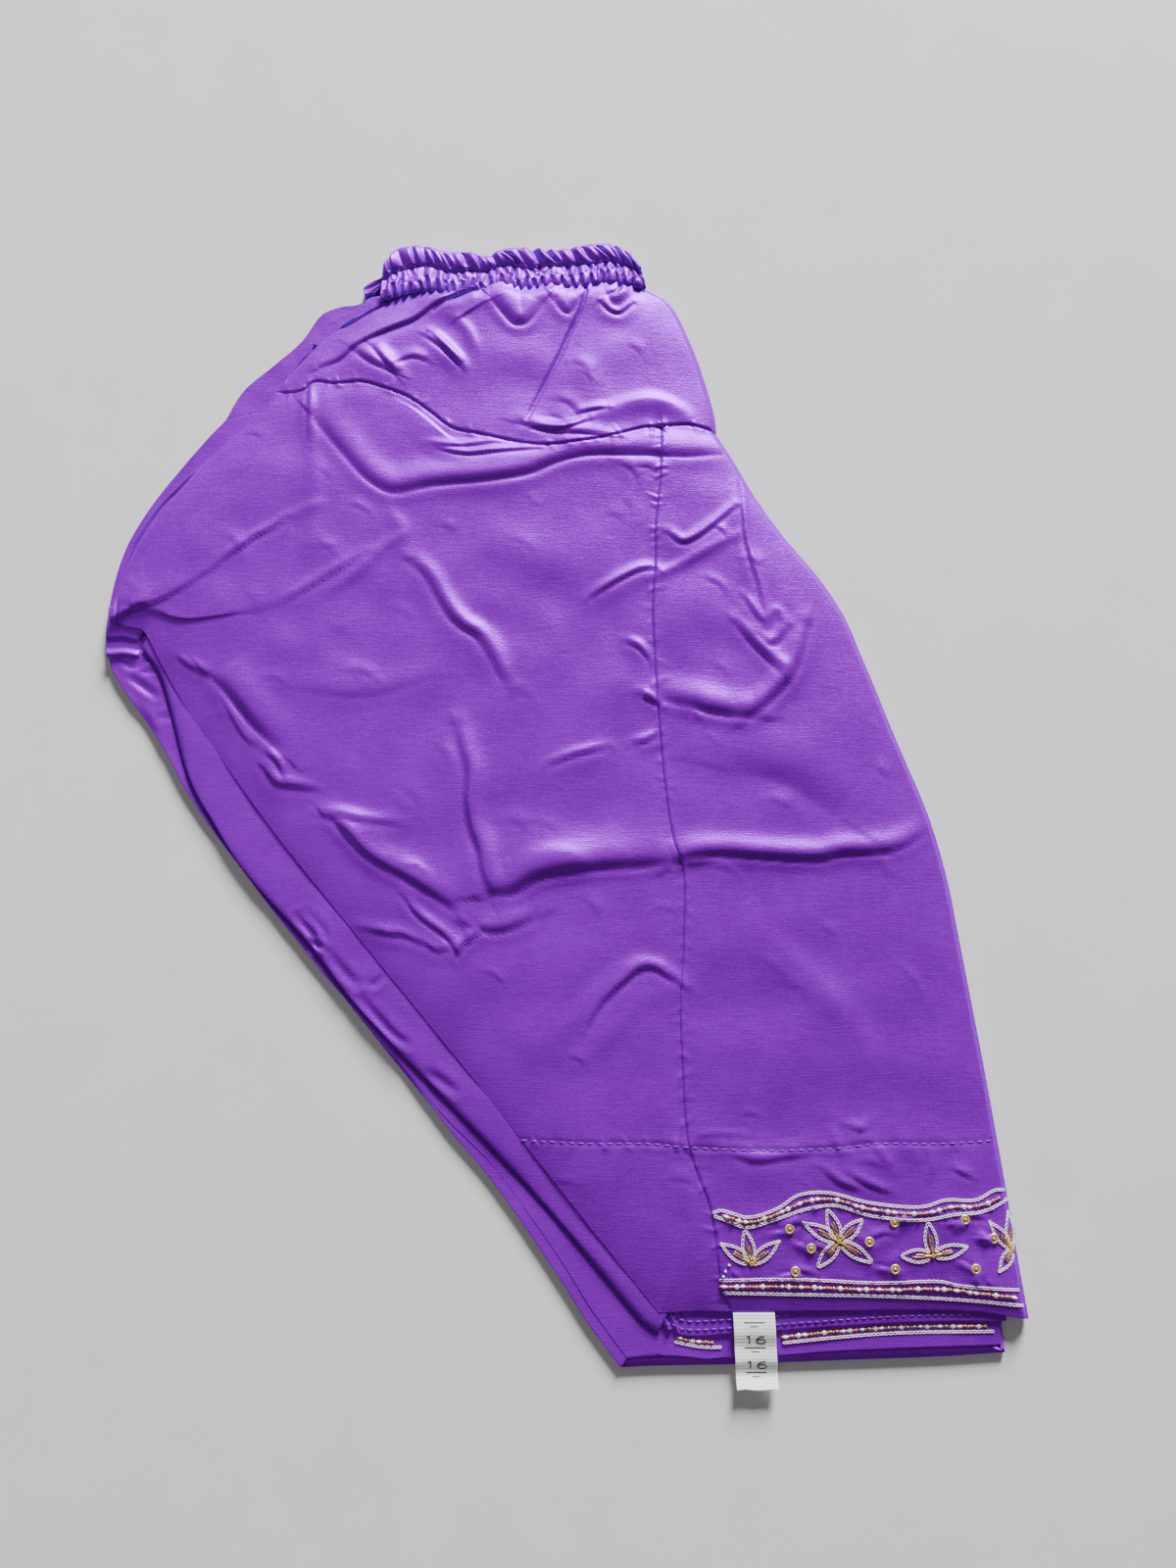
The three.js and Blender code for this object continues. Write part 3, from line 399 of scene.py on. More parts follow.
# %% Creases
STEEPEST, RIM = 0.8, 0.28  # climb beside a crease against its width, and its lower rim
CREASES = [  # name, height, width left, width right, path
    ("under the yoke", -1.9, 4.6, 2.4,
     [(-107.5, 162.5), (-99.5, 152.5), (-91.5, 143), (-81, 131.5), (-70, 125.5), (-52, 128.5),
      (-26, 131), (-8, 134.5), (5, 140), (18.5, 143), (40.5, 143.5), (62.5, 143), (80.5, 145.5)]),
    ("yoke shoulder", 0.7, 3, 4, [(-71.5, 117.5), (-64.5, 108), (-67, 98)]),
    ("hip upright", 0.6, 4, 5, [(-108, 161), (-105.5, 141), (-104, 117.5), (-105, 99)]),
    ("belly slant", -2.1, 2.6, 3,
     [(-60.5, 92.5), (-53.5, 85.5), (-48, 76), (-43, 68), (-37, 62), (-30.5, 58), (-26, 51.5),
      (-21.5, 42.5), (-18, 37)]),
    ("belly upright", -2.4, 3.2, 3.6,
     [(-40, 17.5), (-37.5, 7.5), (-35, -1), (-35, -16), (-33, -26.5), (-29, -37), (-27.5, -45.5),
      (-23, -56)]),
    ("knee line left", -2.7, 5.5, 1.6,
     [(-23, -56), (-13, -55), (-3.5, -49.5), (10, -46.5), (26.5, -44.5), (43, -43.5), (56.5, -42)]),
    ("knee roll", 0.7, 3.5, 6, [(-10, -43), (-0.5, -37), (10, -38), (19, -43)]),
    ("knee line right", -2.4, 3.4, 1.6,
     [(55.5, -42.5), (62, -39.5), (72.5, -38.5), (89, -39.5), (105.5, -40.5), (117.5, -40.5),
      (126.5, -38.5), (139, -38), (152, -35.5), (164, -28.5)]),
    ("crotch tick", -1.3, 1.5, 2.2, [(-121.5, 6), (-117, 2.5), (-113.5, -4)]),
    ("inner thigh two", 0.4, 1.5, 7, [(-99, -21), (-86.5, -22.5), (-74, -24), (-63.5, -25.5)]),
    ("thigh slant", -2, 4, 1.8,
     [(-92, -23.5), (-84, -31), (-76.5, -38), (-69, -43.5), (-60, -48.5), (-52, -53.5), (-44.5, -58),
      (-38.5, -62.5)]),
    ("thigh check", -2.2, 1.6, 1.8,
     [(-60, -56), (-56, -62), (-51, -66.5), (-44.5, -71), (-40, -75), (-36.5, -81)]),
    ("thigh check end", -2.1, 1.6, 1.6, [(-36.5, -81), (-33.5, -76.5), (-29, -73), (-26, -70)]),
    ("thigh hollow", -1.8, 4, 1.6, [(-28.5, -69.5), (-23, -71.5), (-16.5, -71), (-10.5, -69), (-3, -65.5)]),
    ("thigh lower", -1.8, 1.6, 2.2, [(-82, -70), (-74.5, -70.5), (-66, -72), (-60, -72.5), (-52, -76)]),
    ("thigh lower end", -1, 1.5, 2, [(-51.5, -75), (-45.5, -79), (-39.5, -78)]),
    ("hip slant", -1.4, 1.4, 2.6, [(-144, 94), (-136.5, 99), (-129.5, 104.5), (-122.5, 108), (-116, 113.5)]),
    ("hip slant end", 0.5, 2, 3, [(-116, 113.5), (-108, 118.5), (-100.5, 121)]),
    ("flap line", -1.4, 1.4, 2.8, [(-113.5, 75.5), (-105.5, 80), (-99, 84.5), (-88.5, 91), (-80.5, 97)]),
    ("flap ridge", 0.8, 1.8, 2.2, [(-97.5, 78.5), (-85, 87.5), (-74, 99), (-65.5, 106)]),
    ("belly arc", -0.7, 4, 1.6,
     [(-111.5, 34), (-97, 31.5), (-84, 30), (-71.5, 31.5), (-61, 34.5), (-49.5, 38.5)]),
    ("gore pull high", -1.8, 1.5, 2.6, [(19.5, 75.5), (27, 80.5), (35.5, 85.5), (42, 88.5), (48, 89.5)]),
    ("centre pull high", 0.8, 2.4, 2.4, [(46, 85.5), (57.5, 91), (71.5, 99), (87, 107.5)]),
    ("centre crease high", -1.5, 1.6, 2.8,
     [(53.5, 106), (60.5, 101.5), (66.5, 103.5), (75, 110), (85, 119)]),
    ("gore tick", -1.5, 1.5, 2, [(34.5, 55.5), (40, 53), (44.5, 47.5)]),
    ("gore tick low", -1.3, 1.5, 2, [(41, 32), (45.5, 29), (49.5, 26.5)]),
    ("centre hollow", -2.4, 5, 1.8, [(50.5, 29), (61, 26.5), (71.5, 23.5), (80, 22), (89.5, 21.5)]),
    ("centre smile", -2.1, 3.2, 2,
     [(88, 21), (95, 26.5), (101.5, 32.5), (108, 40.5), (113, 51.5), (116, 63.5)]),
    ("centre slant", -1.8, 2.2, 2.4, [(83, 64), (89.5, 56), (95.5, 49.5), (102.5, 41.5)]),
    ("centre vee", -1.3, 2, 2, [(93, 59), (98, 54.5), (102, 56), (107, 62)]),
    ("fold line high", -1.4, 1.4, 1.9,
     [(87.5, 138), (87, 127), (87, 115), (88, 103.5), (90.5, 92), (93, 83), (94.5, 74), (95.5, 66.5)]),
    ("fold line short", -1.3, 1.4, 1.6, [(87, 76), (91, 69.5), (95, 64)]),
    ("centre curl", 0.7, 2, 2, [(97.5, 67), (101.5, 71), (104.5, 66.5), (103.5, 61.5)]),
    ("centre dish", -1.3, 11, 11, [(83.5, -2.5), (102.5, -7.5), (124, -21)]),
    ("gore pull low", -2, 1.5, 2.6, [(1.5, 0), (10, 3.5), (18.5, 6), (27, 8)]),
    ("gore pull low end", -1.3, 1.4, 2, [(37.5, 9.5), (43.5, 11), (49.5, 14)]),
    ("shin slant", 1, 6, 8, [(85, -63.5), (100.5, -80.5), (117, -96), (128, -108.5), (135.5, -126.5)]),
    ("shin peak", -1.7, 2, 2.6,
     [(18.5, -110), (25.5, -100), (34.5, -91.5), (41, -86.5), (46, -86.5), (51, -89.5), (57.5, -93)]),
    ("shin peak ridge", 0.7, 3, 3.5, [(8, -111.5), (18.5, -98.5), (30.5, -86.5), (41, -80.5)]),
    ("shin ridge low", 0.6, 5, 5, [(14, -124.5), (28.5, -110.5), (40.5, -98.5), (55, -96.5)]),
    ("hem tick one", -1.1, 1.4, 1.6, [(116, -149), (117.5, -155.5), (119.5, -162.5)]),
    ("hem tick two", -1.1, 1.4, 1.6, [(125, -150), (130.5, -152), (134, -148.5)]),
    ("hem tick three", -1.1, 1.4, 1.6, [(133, -156.5), (136, -161), (140, -166)]),
    ("hem drag one", -1.3, 1.5, 2, [(113, -166.5), (119.5, -172), (126.5, -175)]),
    ("hem drag two", -1.3, 1.4, 1.8, [(123.5, -168.5), (131.5, -173), (140, -176.5)]),
    ("hem wave", -1, 2.6, 3.2, [(75, -161), (86, -164.5), (98, -163), (111, -161)]),
    ("hem thread", 0.4, 1.2, 1.2, [(61.5, -153), (72.5, -152), (84.5, -153)]),
    ("hem tick far", -0.8, 1.4, 1.8, [(166.5, -167), (174, -170.5)]),
    ("seam line one", -1, 1.4, 1.7, [(-54, 148), (-39.5, 147), (-23, 149)]),
    ("seam line two", -1.1, 1.4, 1.8, [(-50.5, 146), (-37, 143), (-21.5, 144.5), (-5, 146)]),
    ("yoke low tick", -1.3, 1.5, 2.2, [(-5.5, 156), (7, 155), (19, 159.5)]),
    ("yoke low tick two", -1, 1.4, 2, [(13, 162.5), (20.5, 164.5), (27, 165.5)]),
    ("yoke roll", 1.4, 3.5, 5.5, [(22, 162), (36, 168.5), (48.5, 170.5), (58.5, 167), (66, 161)]),
    ("yoke vee", -1.8, 5, 1.7, [(-27, 221), (-21.5, 213.5), (-15.5, 207.5), (-9.5, 208.5), (-2.5, 218)]),
    ("yoke vee two", -1.4, 4, 1.7, [(2.5, 220), (6.5, 214.5), (9.5, 213.5), (15, 221.5)]),
    ("yoke smile", -2, 1.4, 2, [(24, 219), (28.5, 214.5), (33, 213.5), (39.5, 219)]),
    ("yoke pocket", -2.7, 2.2, 2.2, [(34.5, 231), (31.5, 225), (27.5, 223)]),
    ("yoke slant", -1.5, 1.6, 2.2, [(-57, 202), (-49.5, 196), (-40, 187)]),
    ("yoke slant two", -1.4, 2.2, 2.6, [(-81.5, 197), (-75, 188.5), (-69.5, 182)]),
    ("yoke slant three", -1, 1.8, 2.4, [(-69.5, 188), (-62.5, 191), (-55.5, 189)]),
    ("yoke ridge", 0.8, 2.6, 3.2, [(-44, 212.5), (-37.5, 206), (-32.5, 195)]),
    ("fold band foot", -1.6, 2.2, 4,
     [(-105, 187), (-95.5, 190.5), (-89, 196.5), (-82, 201), (-71.5, 206), (-61.5, 210.5), (-52, 218),
      (-42.5, 223), (-30, 228)]),
    ("fold band fork", -1.1, 1.5, 1.8, [(-53, 215.5), (-46.5, 221), (-37, 225.5), (-28, 228.5)]),
    ("shoulder slant", -1.3, 2.8, 2.5, [(-90.5, 196), (-83.5, 190), (-77.5, 186.5), (-69.5, 183)]),
    ("shoulder nick", -1.4, 1.6, 2.2, [(-54.5, 203.5), (-46, 193.5), (-40.5, 187)]),
    ("corner upright", -1.2, 1.4, 1.4, [(-110.5, 179), (-110, 173), (-109.5, 161), (-108.5, 149.5)]),
    ("seat edge nick one", -0.9, 1.5, 1.5, [(-189.5, 96.5), (-186.5, 98.5), (-183.5, 100)]),
    ("seat edge nick two", -0.9, 1.5, 1.5, [(-192, 83), (-188.5, 83.5), (-186, 82)]),
    ("under pleat", -1.3, 2.5, 2.5, [(-13.5, 158.5), (-1.5, 155), (12, 153), (25.5, 152)]),
    ("thigh crumple one", -2.2, 5.5, 2.4,
     [(-146.5, 39.5), (-140, 33), (-134, 25.5), (-128, 18.5), (-116, 7.5)]),
    ("thigh crumple two", -1.7, 1.8, 3, [(-123, 0), (-116.5, -7.5), (-108, -9), (-99, -10.5)]),
    ("thigh crumple three", -1.5, 2, 2.5, [(-97.5, -21.5), (-87.5, -22), (-78, -24), (-63, -25.5)]),
    ("thigh crumple four", -1.2, 2, 2, [(-90, -24), (-83.5, -31.5), (-77.5, -38.5), (-67.5, -45)]),
    ("thigh crumple five", -1.1, 1.6, 2, [(-163.5, 49), (-155.5, 44), (-146.5, 40.5)]),
    ("thigh crumple six", -0.6, 1.6, 2, [(-141.5, 29.5), (-136.5, 20.5), (-130, 11.5), (-123.5, 9)]),
]


def press(depth, left, right, marks, strength=fade):
    """One crease: a trough is a sharp line with the cloth puffed up beside it, a ridge is soft."""
    path = smooth(marks, 5)
    part = window(path, 4.5 * max(left, right))
    distance, along, side = near(path, field_x[part], field_y[part])
    width = np.where(side > 0, left, right)
    reach = distance / width
    if depth > 0:
        profile = depth * bell(reach)
    else:
        climb = np.where(reach < 1, reach * (1.5 - 0.5 * reach ** 2), bell((reach - 1) / 1.6))
        steepest = np.where(side > 0, STEEPEST, 0.5 * STEEPEST) * width
        profile = np.minimum(-depth * np.where(side > 0, 1, RIM), steepest) * climb
    height[part] += profile * strength(along) * np.minimum(1, rise[part] * 2.2)


for name, depth, left, right, marks in CREASES:
    press(depth, left, right, marks)
print("creases pressed:", len(CREASES))

# %% [markdown]
# ## Folded tucks
# In some places the cloth is laid over itself: at the crotch, where the seat's spare width
# folds in, and on the yoke, where the fold band and a short pleat run up to the waistband.
# A tuck is a step: the cloth on its left stands higher, and the step fades away from its edge.

# %% Folded tucks
TUCKS = [  # step, reach, path
    (2.4, 26, [(-193, 66), (-180, 72), (-174, 73.5), (-159, 82), (-136, 99), (-112, 117)]),
    (1.5, 20, [(-174, 70), (-161, 66), (-145, 67), (-115, 74), (-97, 86)]),
    (0.9, 12, [(-27, 229), (-40, 224), (-50, 217), (-56, 213)]),
    (0.8, 10, [(-38, 213), (-28, 219), (-14, 224)]),
    (0.7, 14, [(-45, 153), (-60, 166), (-72, 173)]),
]
STEP_RAMP = 0.9  # mm over which a step rises


def fold_over(step, reach, marks):
    """One tuck: the cloth on the left of the path lies a step higher."""
    path = smooth(marks, 6)
    part = window(path, reach)
    distance, along, side = near(path, field_x[part], field_y[part])
    ramp = np.clip(side * distance / STEP_RAMP, 0, 1)
    level = ramp * ramp * (3 - 2 * ramp) * np.maximum(0, 1 - distance / reach)
    height[part] += step * (1 - along) * level


for tuck in TUCKS:
    fold_over(*tuck)
print("tucks folded:", len(TUCKS))

# %% [markdown]
# ## Ripples
# Between the creases satin is never flat: slow ripples wander over it, and packing leaves many
# faint short kinks. A noise texture could displace the mesh, but these are added to the same
# field, in patches, so that they fade towards the edges and never line up.

# %% Ripples
RIPPLES, KINKS = 26, 90
RIPPLE_SLOPE = 0.0033  # height of a ripple against its length
KINK_DEPTH = (0.15, 0.55)  # mm
for k in range(RIPPLES):
    length = chance.uniform(16, 60)
    direction = chance.uniform(0, math.pi)
    across = (field_x * math.cos(direction) + field_y * math.sin(direction)) * 2 * math.pi / length
    patchy = np.sin(field_x / chance.uniform(22, 60) + chance.uniform(0, 6))
    patchy = patchy * np.sin(field_y / chance.uniform(22, 60) + chance.uniform(0, 6))
    height += RIPPLE_SLOPE * length * rise * patchy * np.sin(across + chance.uniform(0, 6))
for k in range(KINKS):
    x, y = chance.uniform(-150, 180), chance.uniform(-200, 220)
    turn = chance.normal(-0.5, 0.5)
    reach = chance.uniform(5, 13)
    tip = (x + reach * math.cos(turn), y + reach * math.sin(turn))
    bend = (x + 0.5 * reach * math.cos(turn + 0.25), y + 0.5 * reach * math.sin(turn + 0.25))
    depth = -chance.uniform(*KINK_DEPTH)
    press(depth, chance.uniform(1.1, 2.6), chance.uniform(1.2, 2.4), [(x, y), bend, tip])
print("ripples:", RIPPLES, "kinks:", KINKS)

# %% [markdown]
# ## Seam grooves and puckers
# Where two panels are sewn, the thread is tighter than the cloth, so the seam is a thin dark
# groove with short puckers across it. Puckers at even steps would look like a machine's
# drawing, so their places, lengths and slants are drawn from the seeded chance.

# %% Seam grooves and puckers
def seam_place(path, share):
    """Point and direction at a share of a path's length, and that length."""
    total = lengths_along(path)[-1]
    place = share * total
    ahead, behind = at_length(path, min(place + 1, total)), at_length(path, max(place - 1, 0))
    return at_length(path, place), (ahead - behind) / max(1e-6, math.dist(ahead, behind)), total


def pucker(path, spacing, length, depth):
    """Short creases across a seam."""
    total = seam_place(path, 0)[2]
    place = spacing * 0.5
    count = 0
    while place < total:
        point, along, _ = seam_place(path, place / total)
        slant = chance.uniform(-0.6, 0.6)
        across = np.array([-along[1], along[0]]) + slant * along
        reach = length * chance.uniform(0.4, 1.0)
        side = chance.choice((-1, 1))
        marks = [point, point + side * across * reach * 0.5, point + side * across * reach]
        press(-depth * chance.uniform(0.4, 1.0), 0.9, 1.5, marks, lambda along: np.maximum(0, 1 - along))
        place += spacing * chance.uniform(0.5, 1.6)
        count += 1
    return count


def groove(path, depth, width):
    """A thin dark line: a narrow valley along a path, on both sides alike."""
    part = window(path, 4 * width)
    distance, along, _ = near(path, field_x[part], field_y[part])
    height[part] -= depth * fade(along) * bell(distance / width)


PLY_LINES = [  # name, depth, width, path: plies that end close to the silhouette
    ("outer ply edge high", 1.3, 0.9,
     [(-120.5, 182.5), (-117.5, 187), (-114.5, 191), (-108.5, 198), (-103, 204.5),
      (-98.5, 208), (-91, 212), (-83, 219.5), (-77.5, 221)]),
    ("outer ply gap", 1.6, 0.9,
     [(-102, 207), (-95, 209.5), (-85.5, 215), (-78.5, 219.5), (-73, 223)]),
    ("seat edge", 1.3, 0.9,
     [(-189.5, 64), (-191, 78), (-190, 88.5), (-187, 96.5), (-180.5, 109.5), (-173.5, 121),
      (-165.5, 130), (-155, 144.5), (-144, 157.5), (-141, 161.5)]),
    ("back of seat", 0.9, 0.8, [(-146, 153), (-138, 162), (-130, 170)]),
    ("pleat line", 2.0, 0.7,
     [(17.5, 229), (17, 223.5), (14, 213.5), (9, 202), (5, 192), (-3, 175), (-9.5, 160.5)]),
]
for name, depth, width, marks in PLY_LINES:
    groove(smooth(marks), depth, width)
puckers = 0
for name, spacing in (("yoke_seam", 9), ("yoke_seam_end", 7), ("panel_seam", 7)):
    puckers += pucker(line[name], spacing, 9, 0.55)
    groove(line[name], 0.3 if "yoke" in name else 0.15, 0.6)
print("puckers:", puckers)

# %% [markdown]
# ## Facing stitches and embroidery drag
# Inside the hem a facing is sewn on with one row of long stitches, which shows outside as a
# shallow groove across the whole leg. Around each bead and stud the cloth is pulled into small
# drag lines. The places of the beads are needed here, so the table stands here.

# %% Facing stitches and embroidery drag
FACING_ROW = [(-9.5, -155.5), (18.5, -156.5), (42.5, -156.5), (60, -158), (90.5, -159), (122.5, -158),
              (135, -156.5), (163, -156.5), (187, -155.5)]
STUDS = [(99.5, -189.5), (108, -197), (101.5, -206), (131.5, -194.5), (142, -187), (141.5, -205),
         (170.5, -186), (174, -205), (182, -193.5)]
facing_row = smooth(FACING_ROW)
groove(facing_row, 0.55, 0.9)
pucker(facing_row, 9, 7, 0.35)
for x, y in STUDS:
    for turn in chance.uniform(0, 2 * math.pi, 3):
        tip = (x + 8 * math.cos(turn), y + 6 * math.sin(turn))
        press(-0.9, 1.2, 1.6, [(x, y), ((x + tip[0]) / 2, (y + tip[1]) / 2 + 0.4), tip])
for spacing, length, depth, marks in (  # the dense stitching of the borders draws the cloth in
        (5, 7, 0.8, [(72, -186), (96, -184), (118, -180), (154, -185), (186, -180)]),
        (6, 6, 0.7, [(74, -208), (133, -209), (188, -212)]),
        (13, 7, 0.6, FACING_ROW)):
    pucker(smooth(marks), spacing, length, depth)
fold_part = near(outer_fold[::2], field_x, field_y)[0]
height -= FOLD_DROP * np.maximum(0, 1 - fold_part / FOLD_REACH)


def height_at(x, y):
    """Height of the upper leg's face, read between the values of the field."""
    column = np.clip((np.asarray(x) - WEST) / PITCH, 0, field_x.shape[1] - 1.001)
    row = np.clip((np.asarray(y) - SOUTH) / PITCH, 0, field_x.shape[0] - 1.001)
    c, r = column.astype(int), row.astype(int)
    u, v = column - c, row - r
    low = height[r, c] * (1 - u) + height[r, c + 1] * u
    high = height[r + 1, c] * (1 - u) + height[r + 1, c + 1] * u
    return low * (1 - v) + high * v


print("heights on the leg, mm:", round(float(height_at(0, 0)), 2), round(float(height_at(120, -100)), 2))

# %% [markdown]
# ## Grids between edges
# A panel is a grid of points between its four edges, finer at the edges where the cloth turns.
# It could be cut out of one big square grid, but then its edges would be jagged steps.

# %% Grids between edges
def spaced(points, shares):
    """Points at the given shares of a line's length."""
    return at_length(points, shares * lengths_along(points)[-1])


def shifted(points, distance):
    """The same line moved to the left of its direction."""
    return points + distance * left_of(unit(np.gradient(points, axis=0)))


def shares(count, closeness=0.7):
    """Shares from 0 to 1 that are closer together at both ends."""
    t = np.linspace(0, 1, count + 1)
    return t - closeness * np.sin(2 * np.pi * t) / (2 * np.pi)


def patch(top, bottom, left, right, across, down):
    """A grid of points that fills the space between four lines."""
    top, bottom = spaced(top, across), spaced(bottom, across)
    left, right = spaced(left, down)[:, None], spaced(right, down)[:, None]
    u, v = across[None, :, None], down[:, None, None]
    corners = (top[0] * (1 - u) + top[-1] * u) * (1 - v) + (bottom[0] * (1 - u) + bottom[-1] * u) * v
    return left * (1 - u) + right * u + top[None] * (1 - v) + bottom[None] * v - corners


print("a step at the edge of a panel:", round(float(shares(100)[1]), 5), "of its width")

# %% [markdown]
# ## Cloth with a rolled rim
# A plane with a thickness modifier would give square edges. Here the rim itself is rolled down
# and turned under, as a seam allowance is, so each panel ends in a soft round edge. Its cut is
# kept as a UV map, which tells the satin which way its threads run.

# %% Cloth with a rolled rim
UV_UNIT = 500  # mm of cloth on one unit of the UV map


def build(name, points, faces, material):
    """A piece from points in mm, with its cut laid out flat as its UV map."""
    mesh = bpy.data.meshes.new(name)
    mesh.from_pydata((np.asarray(points) * MM).tolist(), [], faces)
    mesh.polygons.foreach_set("use_smooth", [True] * len(mesh.polygons))
    cut = mesh.uv_layers.new(name="cut")
    loops = np.empty(len(mesh.loops), dtype=np.int32)
    mesh.loops.foreach_get("vertex_index", loops)
    cut.data.foreach_set("uv", np.asarray(points)[loops, :2].ravel() / UV_UNIT)
    mesh.materials.append(material)
    mesh.update()
    piece = bpy.data.objects.new(name, mesh)
    bpy.context.scene.collection.objects.link(piece)
    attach(piece, "root")
    return piece


def cloth(name, grid, z, drop, material, bulge=0.3, under=2.0, turns=4):
    """A panel of cloth whose rim rolls down by drop and is turned under."""
    rows, columns = grid.shape[:2]
    z = np.broadcast_to(z, (rows, columns))
    index = np.arange(rows * columns).reshape(rows, columns)
    rim = np.concatenate([index[:-1, 0], index[-1, :-1], index[:0:-1, -1], index[0, :0:-1]])
    face = np.concatenate([grid.reshape(-1, 2), z.reshape(-1, 1)], axis=1)
    quads = np.stack([index[:-1, :-1], index[1:, :-1], index[1:, 1:], index[:-1, 1:]], axis=-1).reshape(-1, 4)
    edge = face[rim]
    outward = -left_of(unit(np.roll(edge, -2, axis=0)[:, :2] - np.roll(edge, 2, axis=0)[:, :2]))
    drop = drop(edge[:, 0], edge[:, 1]) if callable(drop) else np.full(len(rim), drop)
    bulge = bulge(edge[:, 0], edge[:, 1]) if callable(bulge) else np.full(len(rim), bulge)
    points, loops = [face], [rim]
    for k in range(1, turns + 2):
        angle = math.pi * min(k, turns) / turns
        out = bulge * math.sin(angle) - (under if k > turns else 0)
        level = edge[:, 2] - drop * (1 - math.cos(angle)) / 2
        ring = np.concatenate([edge[:, :2] + outward * out[:, None], level[:, None]], axis=1)
        loops.append(np.arange(len(rim)) + sum(len(p) for p in points))
        points.append(ring)
    sides = [np.stack([a, b, np.roll(b, -1), np.roll(a, -1)], axis=-1) for a, b in zip(loops[:-1], loops[1:])]
    return build(name, np.concatenate(points), np.concatenate([quads, *sides]).tolist(), material)


print("mm of cloth on a unit of the UV map:", UV_UNIT)

# %% [markdown]
# ## The three panels of the upper leg
# The yoke hangs from the band, the gore is the wide wedge that makes a salwar baggy, and the
# centre panel runs straight down to the decorated hem. They share the points of their seams.
# At the outer fold the rim rolls all the way down around the plies below.

# %% The three panels of the upper leg
GORE_COLUMNS, CENTRE_COLUMNS, LEG_ROWS = 215, 120, 420
YOKE_COLUMNS, YOKE_ROWS = 400, 150
FOLD_ROLL = 3.0  # how far the outer fold rolls down
HEM_ROLL = 1.3


def leg_drop(x, y):
    """The rim's roll: deep at the outer fold, thin at hem and seams."""
    to_fold = near(outer_fold, x, y)[0]
    return HEM_ROLL + (FOLD_ROLL - HEM_ROLL) * np.clip(1 - to_fold / 1.5, 0, 1)


def leg_bulge(x, y):
    """Outwards at a free edge, inwards at a seam, where two rims meet in a thin dark line."""
    seams = join(line["yoke_seam"], line["yoke_seam_end"]), line["panel_seam"]
    to_seam = np.minimum(*(near(seam, x, y)[0] for seam in seams))
    return np.where(to_seam < 0.4, -0.32, 0.3)


down = shares(LEG_ROWS, 0.6)
seam_side = line["panel_seam"]
gore_side = join(line["gore_left"], line["crotch_step"], line["inseam"])
gore = patch(line["yoke_seam"], line["top_hem"], gore_side, seam_side, shares(GORE_COLUMNS), down)
centre = patch(line["yoke_seam_end"], line["top_hem_end"], seam_side, line["centre_right"],
               shares(CENTRE_COLUMNS), down)
yoke_top = line["band_low"][line["band_low"][:, 0] >= -66.01]  # from the corner of the yoke on
yoke_low = join(line["yoke_seam"], line["yoke_seam_end"])
yoke = patch(yoke_top, yoke_low, line["yoke_left"], line["yoke_right"], shares(YOKE_COLUMNS),
             shares(YOKE_ROWS))
top_gore = cloth("top_gore", gore, height_at(gore[..., 0], gore[..., 1]), leg_drop, satin, leg_bulge)
top_centre = cloth("top_centre_panel", centre, height_at(centre[..., 0], centre[..., 1]), leg_drop, satin,
                   leg_bulge)
top_yoke = cloth("top_yoke", yoke, height_at(yoke[..., 0], yoke[..., 1]), leg_drop, satin, leg_bulge)
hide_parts("gore_front_upper")
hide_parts("centre_panel_upper")
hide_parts("yoke_upper")
print("faces:", [len(piece.data.polygons) for piece in (top_gore, top_centre, top_yoke)])

# %% [markdown]
# ## Plies below the upper leg
# Round the upper leg the other plies look out by a few millimetres, and their stacked edges tell
# the eye how thin the cloth is. Each is a strip that goes a little way in under the next, at
# its own level, with slow waves so that the gap between two plies is never even.

# %% Plies below the upper leg
SECOND_PLY, THIRD_PLY = 2.7, 4.2  # mm, faces of the lower leg's front and the upper leg's back
PLY_ROLL = 1.2  # mm that a ply's rim rolls down
TUCK_IN = 7  # mm of a strip that lie under the next ply


def wavy(grid, level, swing=0.22, length=23):
    """Slow waves of a ply, and small sharp ones."""
    x, y = grid[..., 0], grid[..., 1]
    slow = np.sin(x / length + np.cos(y / 31) * 2) * np.sin(y / (0.8 * length) + 1)
    small = np.sin(x / 3.1 + y / 7.3) * np.sin(y / 4.7 - x / 9) * 0.35
    return level + swing * (slow + small)


def crumple(grid, z, rows):
    """Adds a table of creases to the heights of a ply; below zero they are troughs."""
    x, y = grid[..., 0], grid[..., 1]
    for lift, width, marks in rows:
        distance, along, _ = near(smooth(marks, 5), x, y)
        reach = distance / width
        z = z + lift * fade(along) * (bell(reach) - 0.5 * bell((reach - 2) / 0.9))
    return z


def strip(left, right, rows, columns):
    """A grid between two lines that run the same way."""
    left, right = spaced(left, np.linspace(0, 1, rows + 1)), spaced(right, np.linspace(0, 1, rows + 1))
    u = shares(columns)[None, :, None]
    return left[:, None] * (1 - u) + right[:, None] * u


print("faces of the plies at, mm:", SECOND_PLY, THIRD_PLY)

# %% [markdown]
# ## Strips of the lower leg
# These are its yoke, its gore with a few creases at the crotch, the thin edge of its back gore
# and its hem. The gore dives into the gap under the next ply, which draws a narrow dark line.

# %% Strips of the lower leg
yoke_inner = shifted(line["yoke_left"], TUCK_IN)
lower_yoke_grid = strip(line["under_yoke_edge"], yoke_inner, 120, 26)
lower_yoke = cloth("lower_yoke", lower_yoke_grid, wavy(lower_yoke_grid, SECOND_PLY, 0.3), PLY_ROLL, satin)
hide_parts("yoke_under")

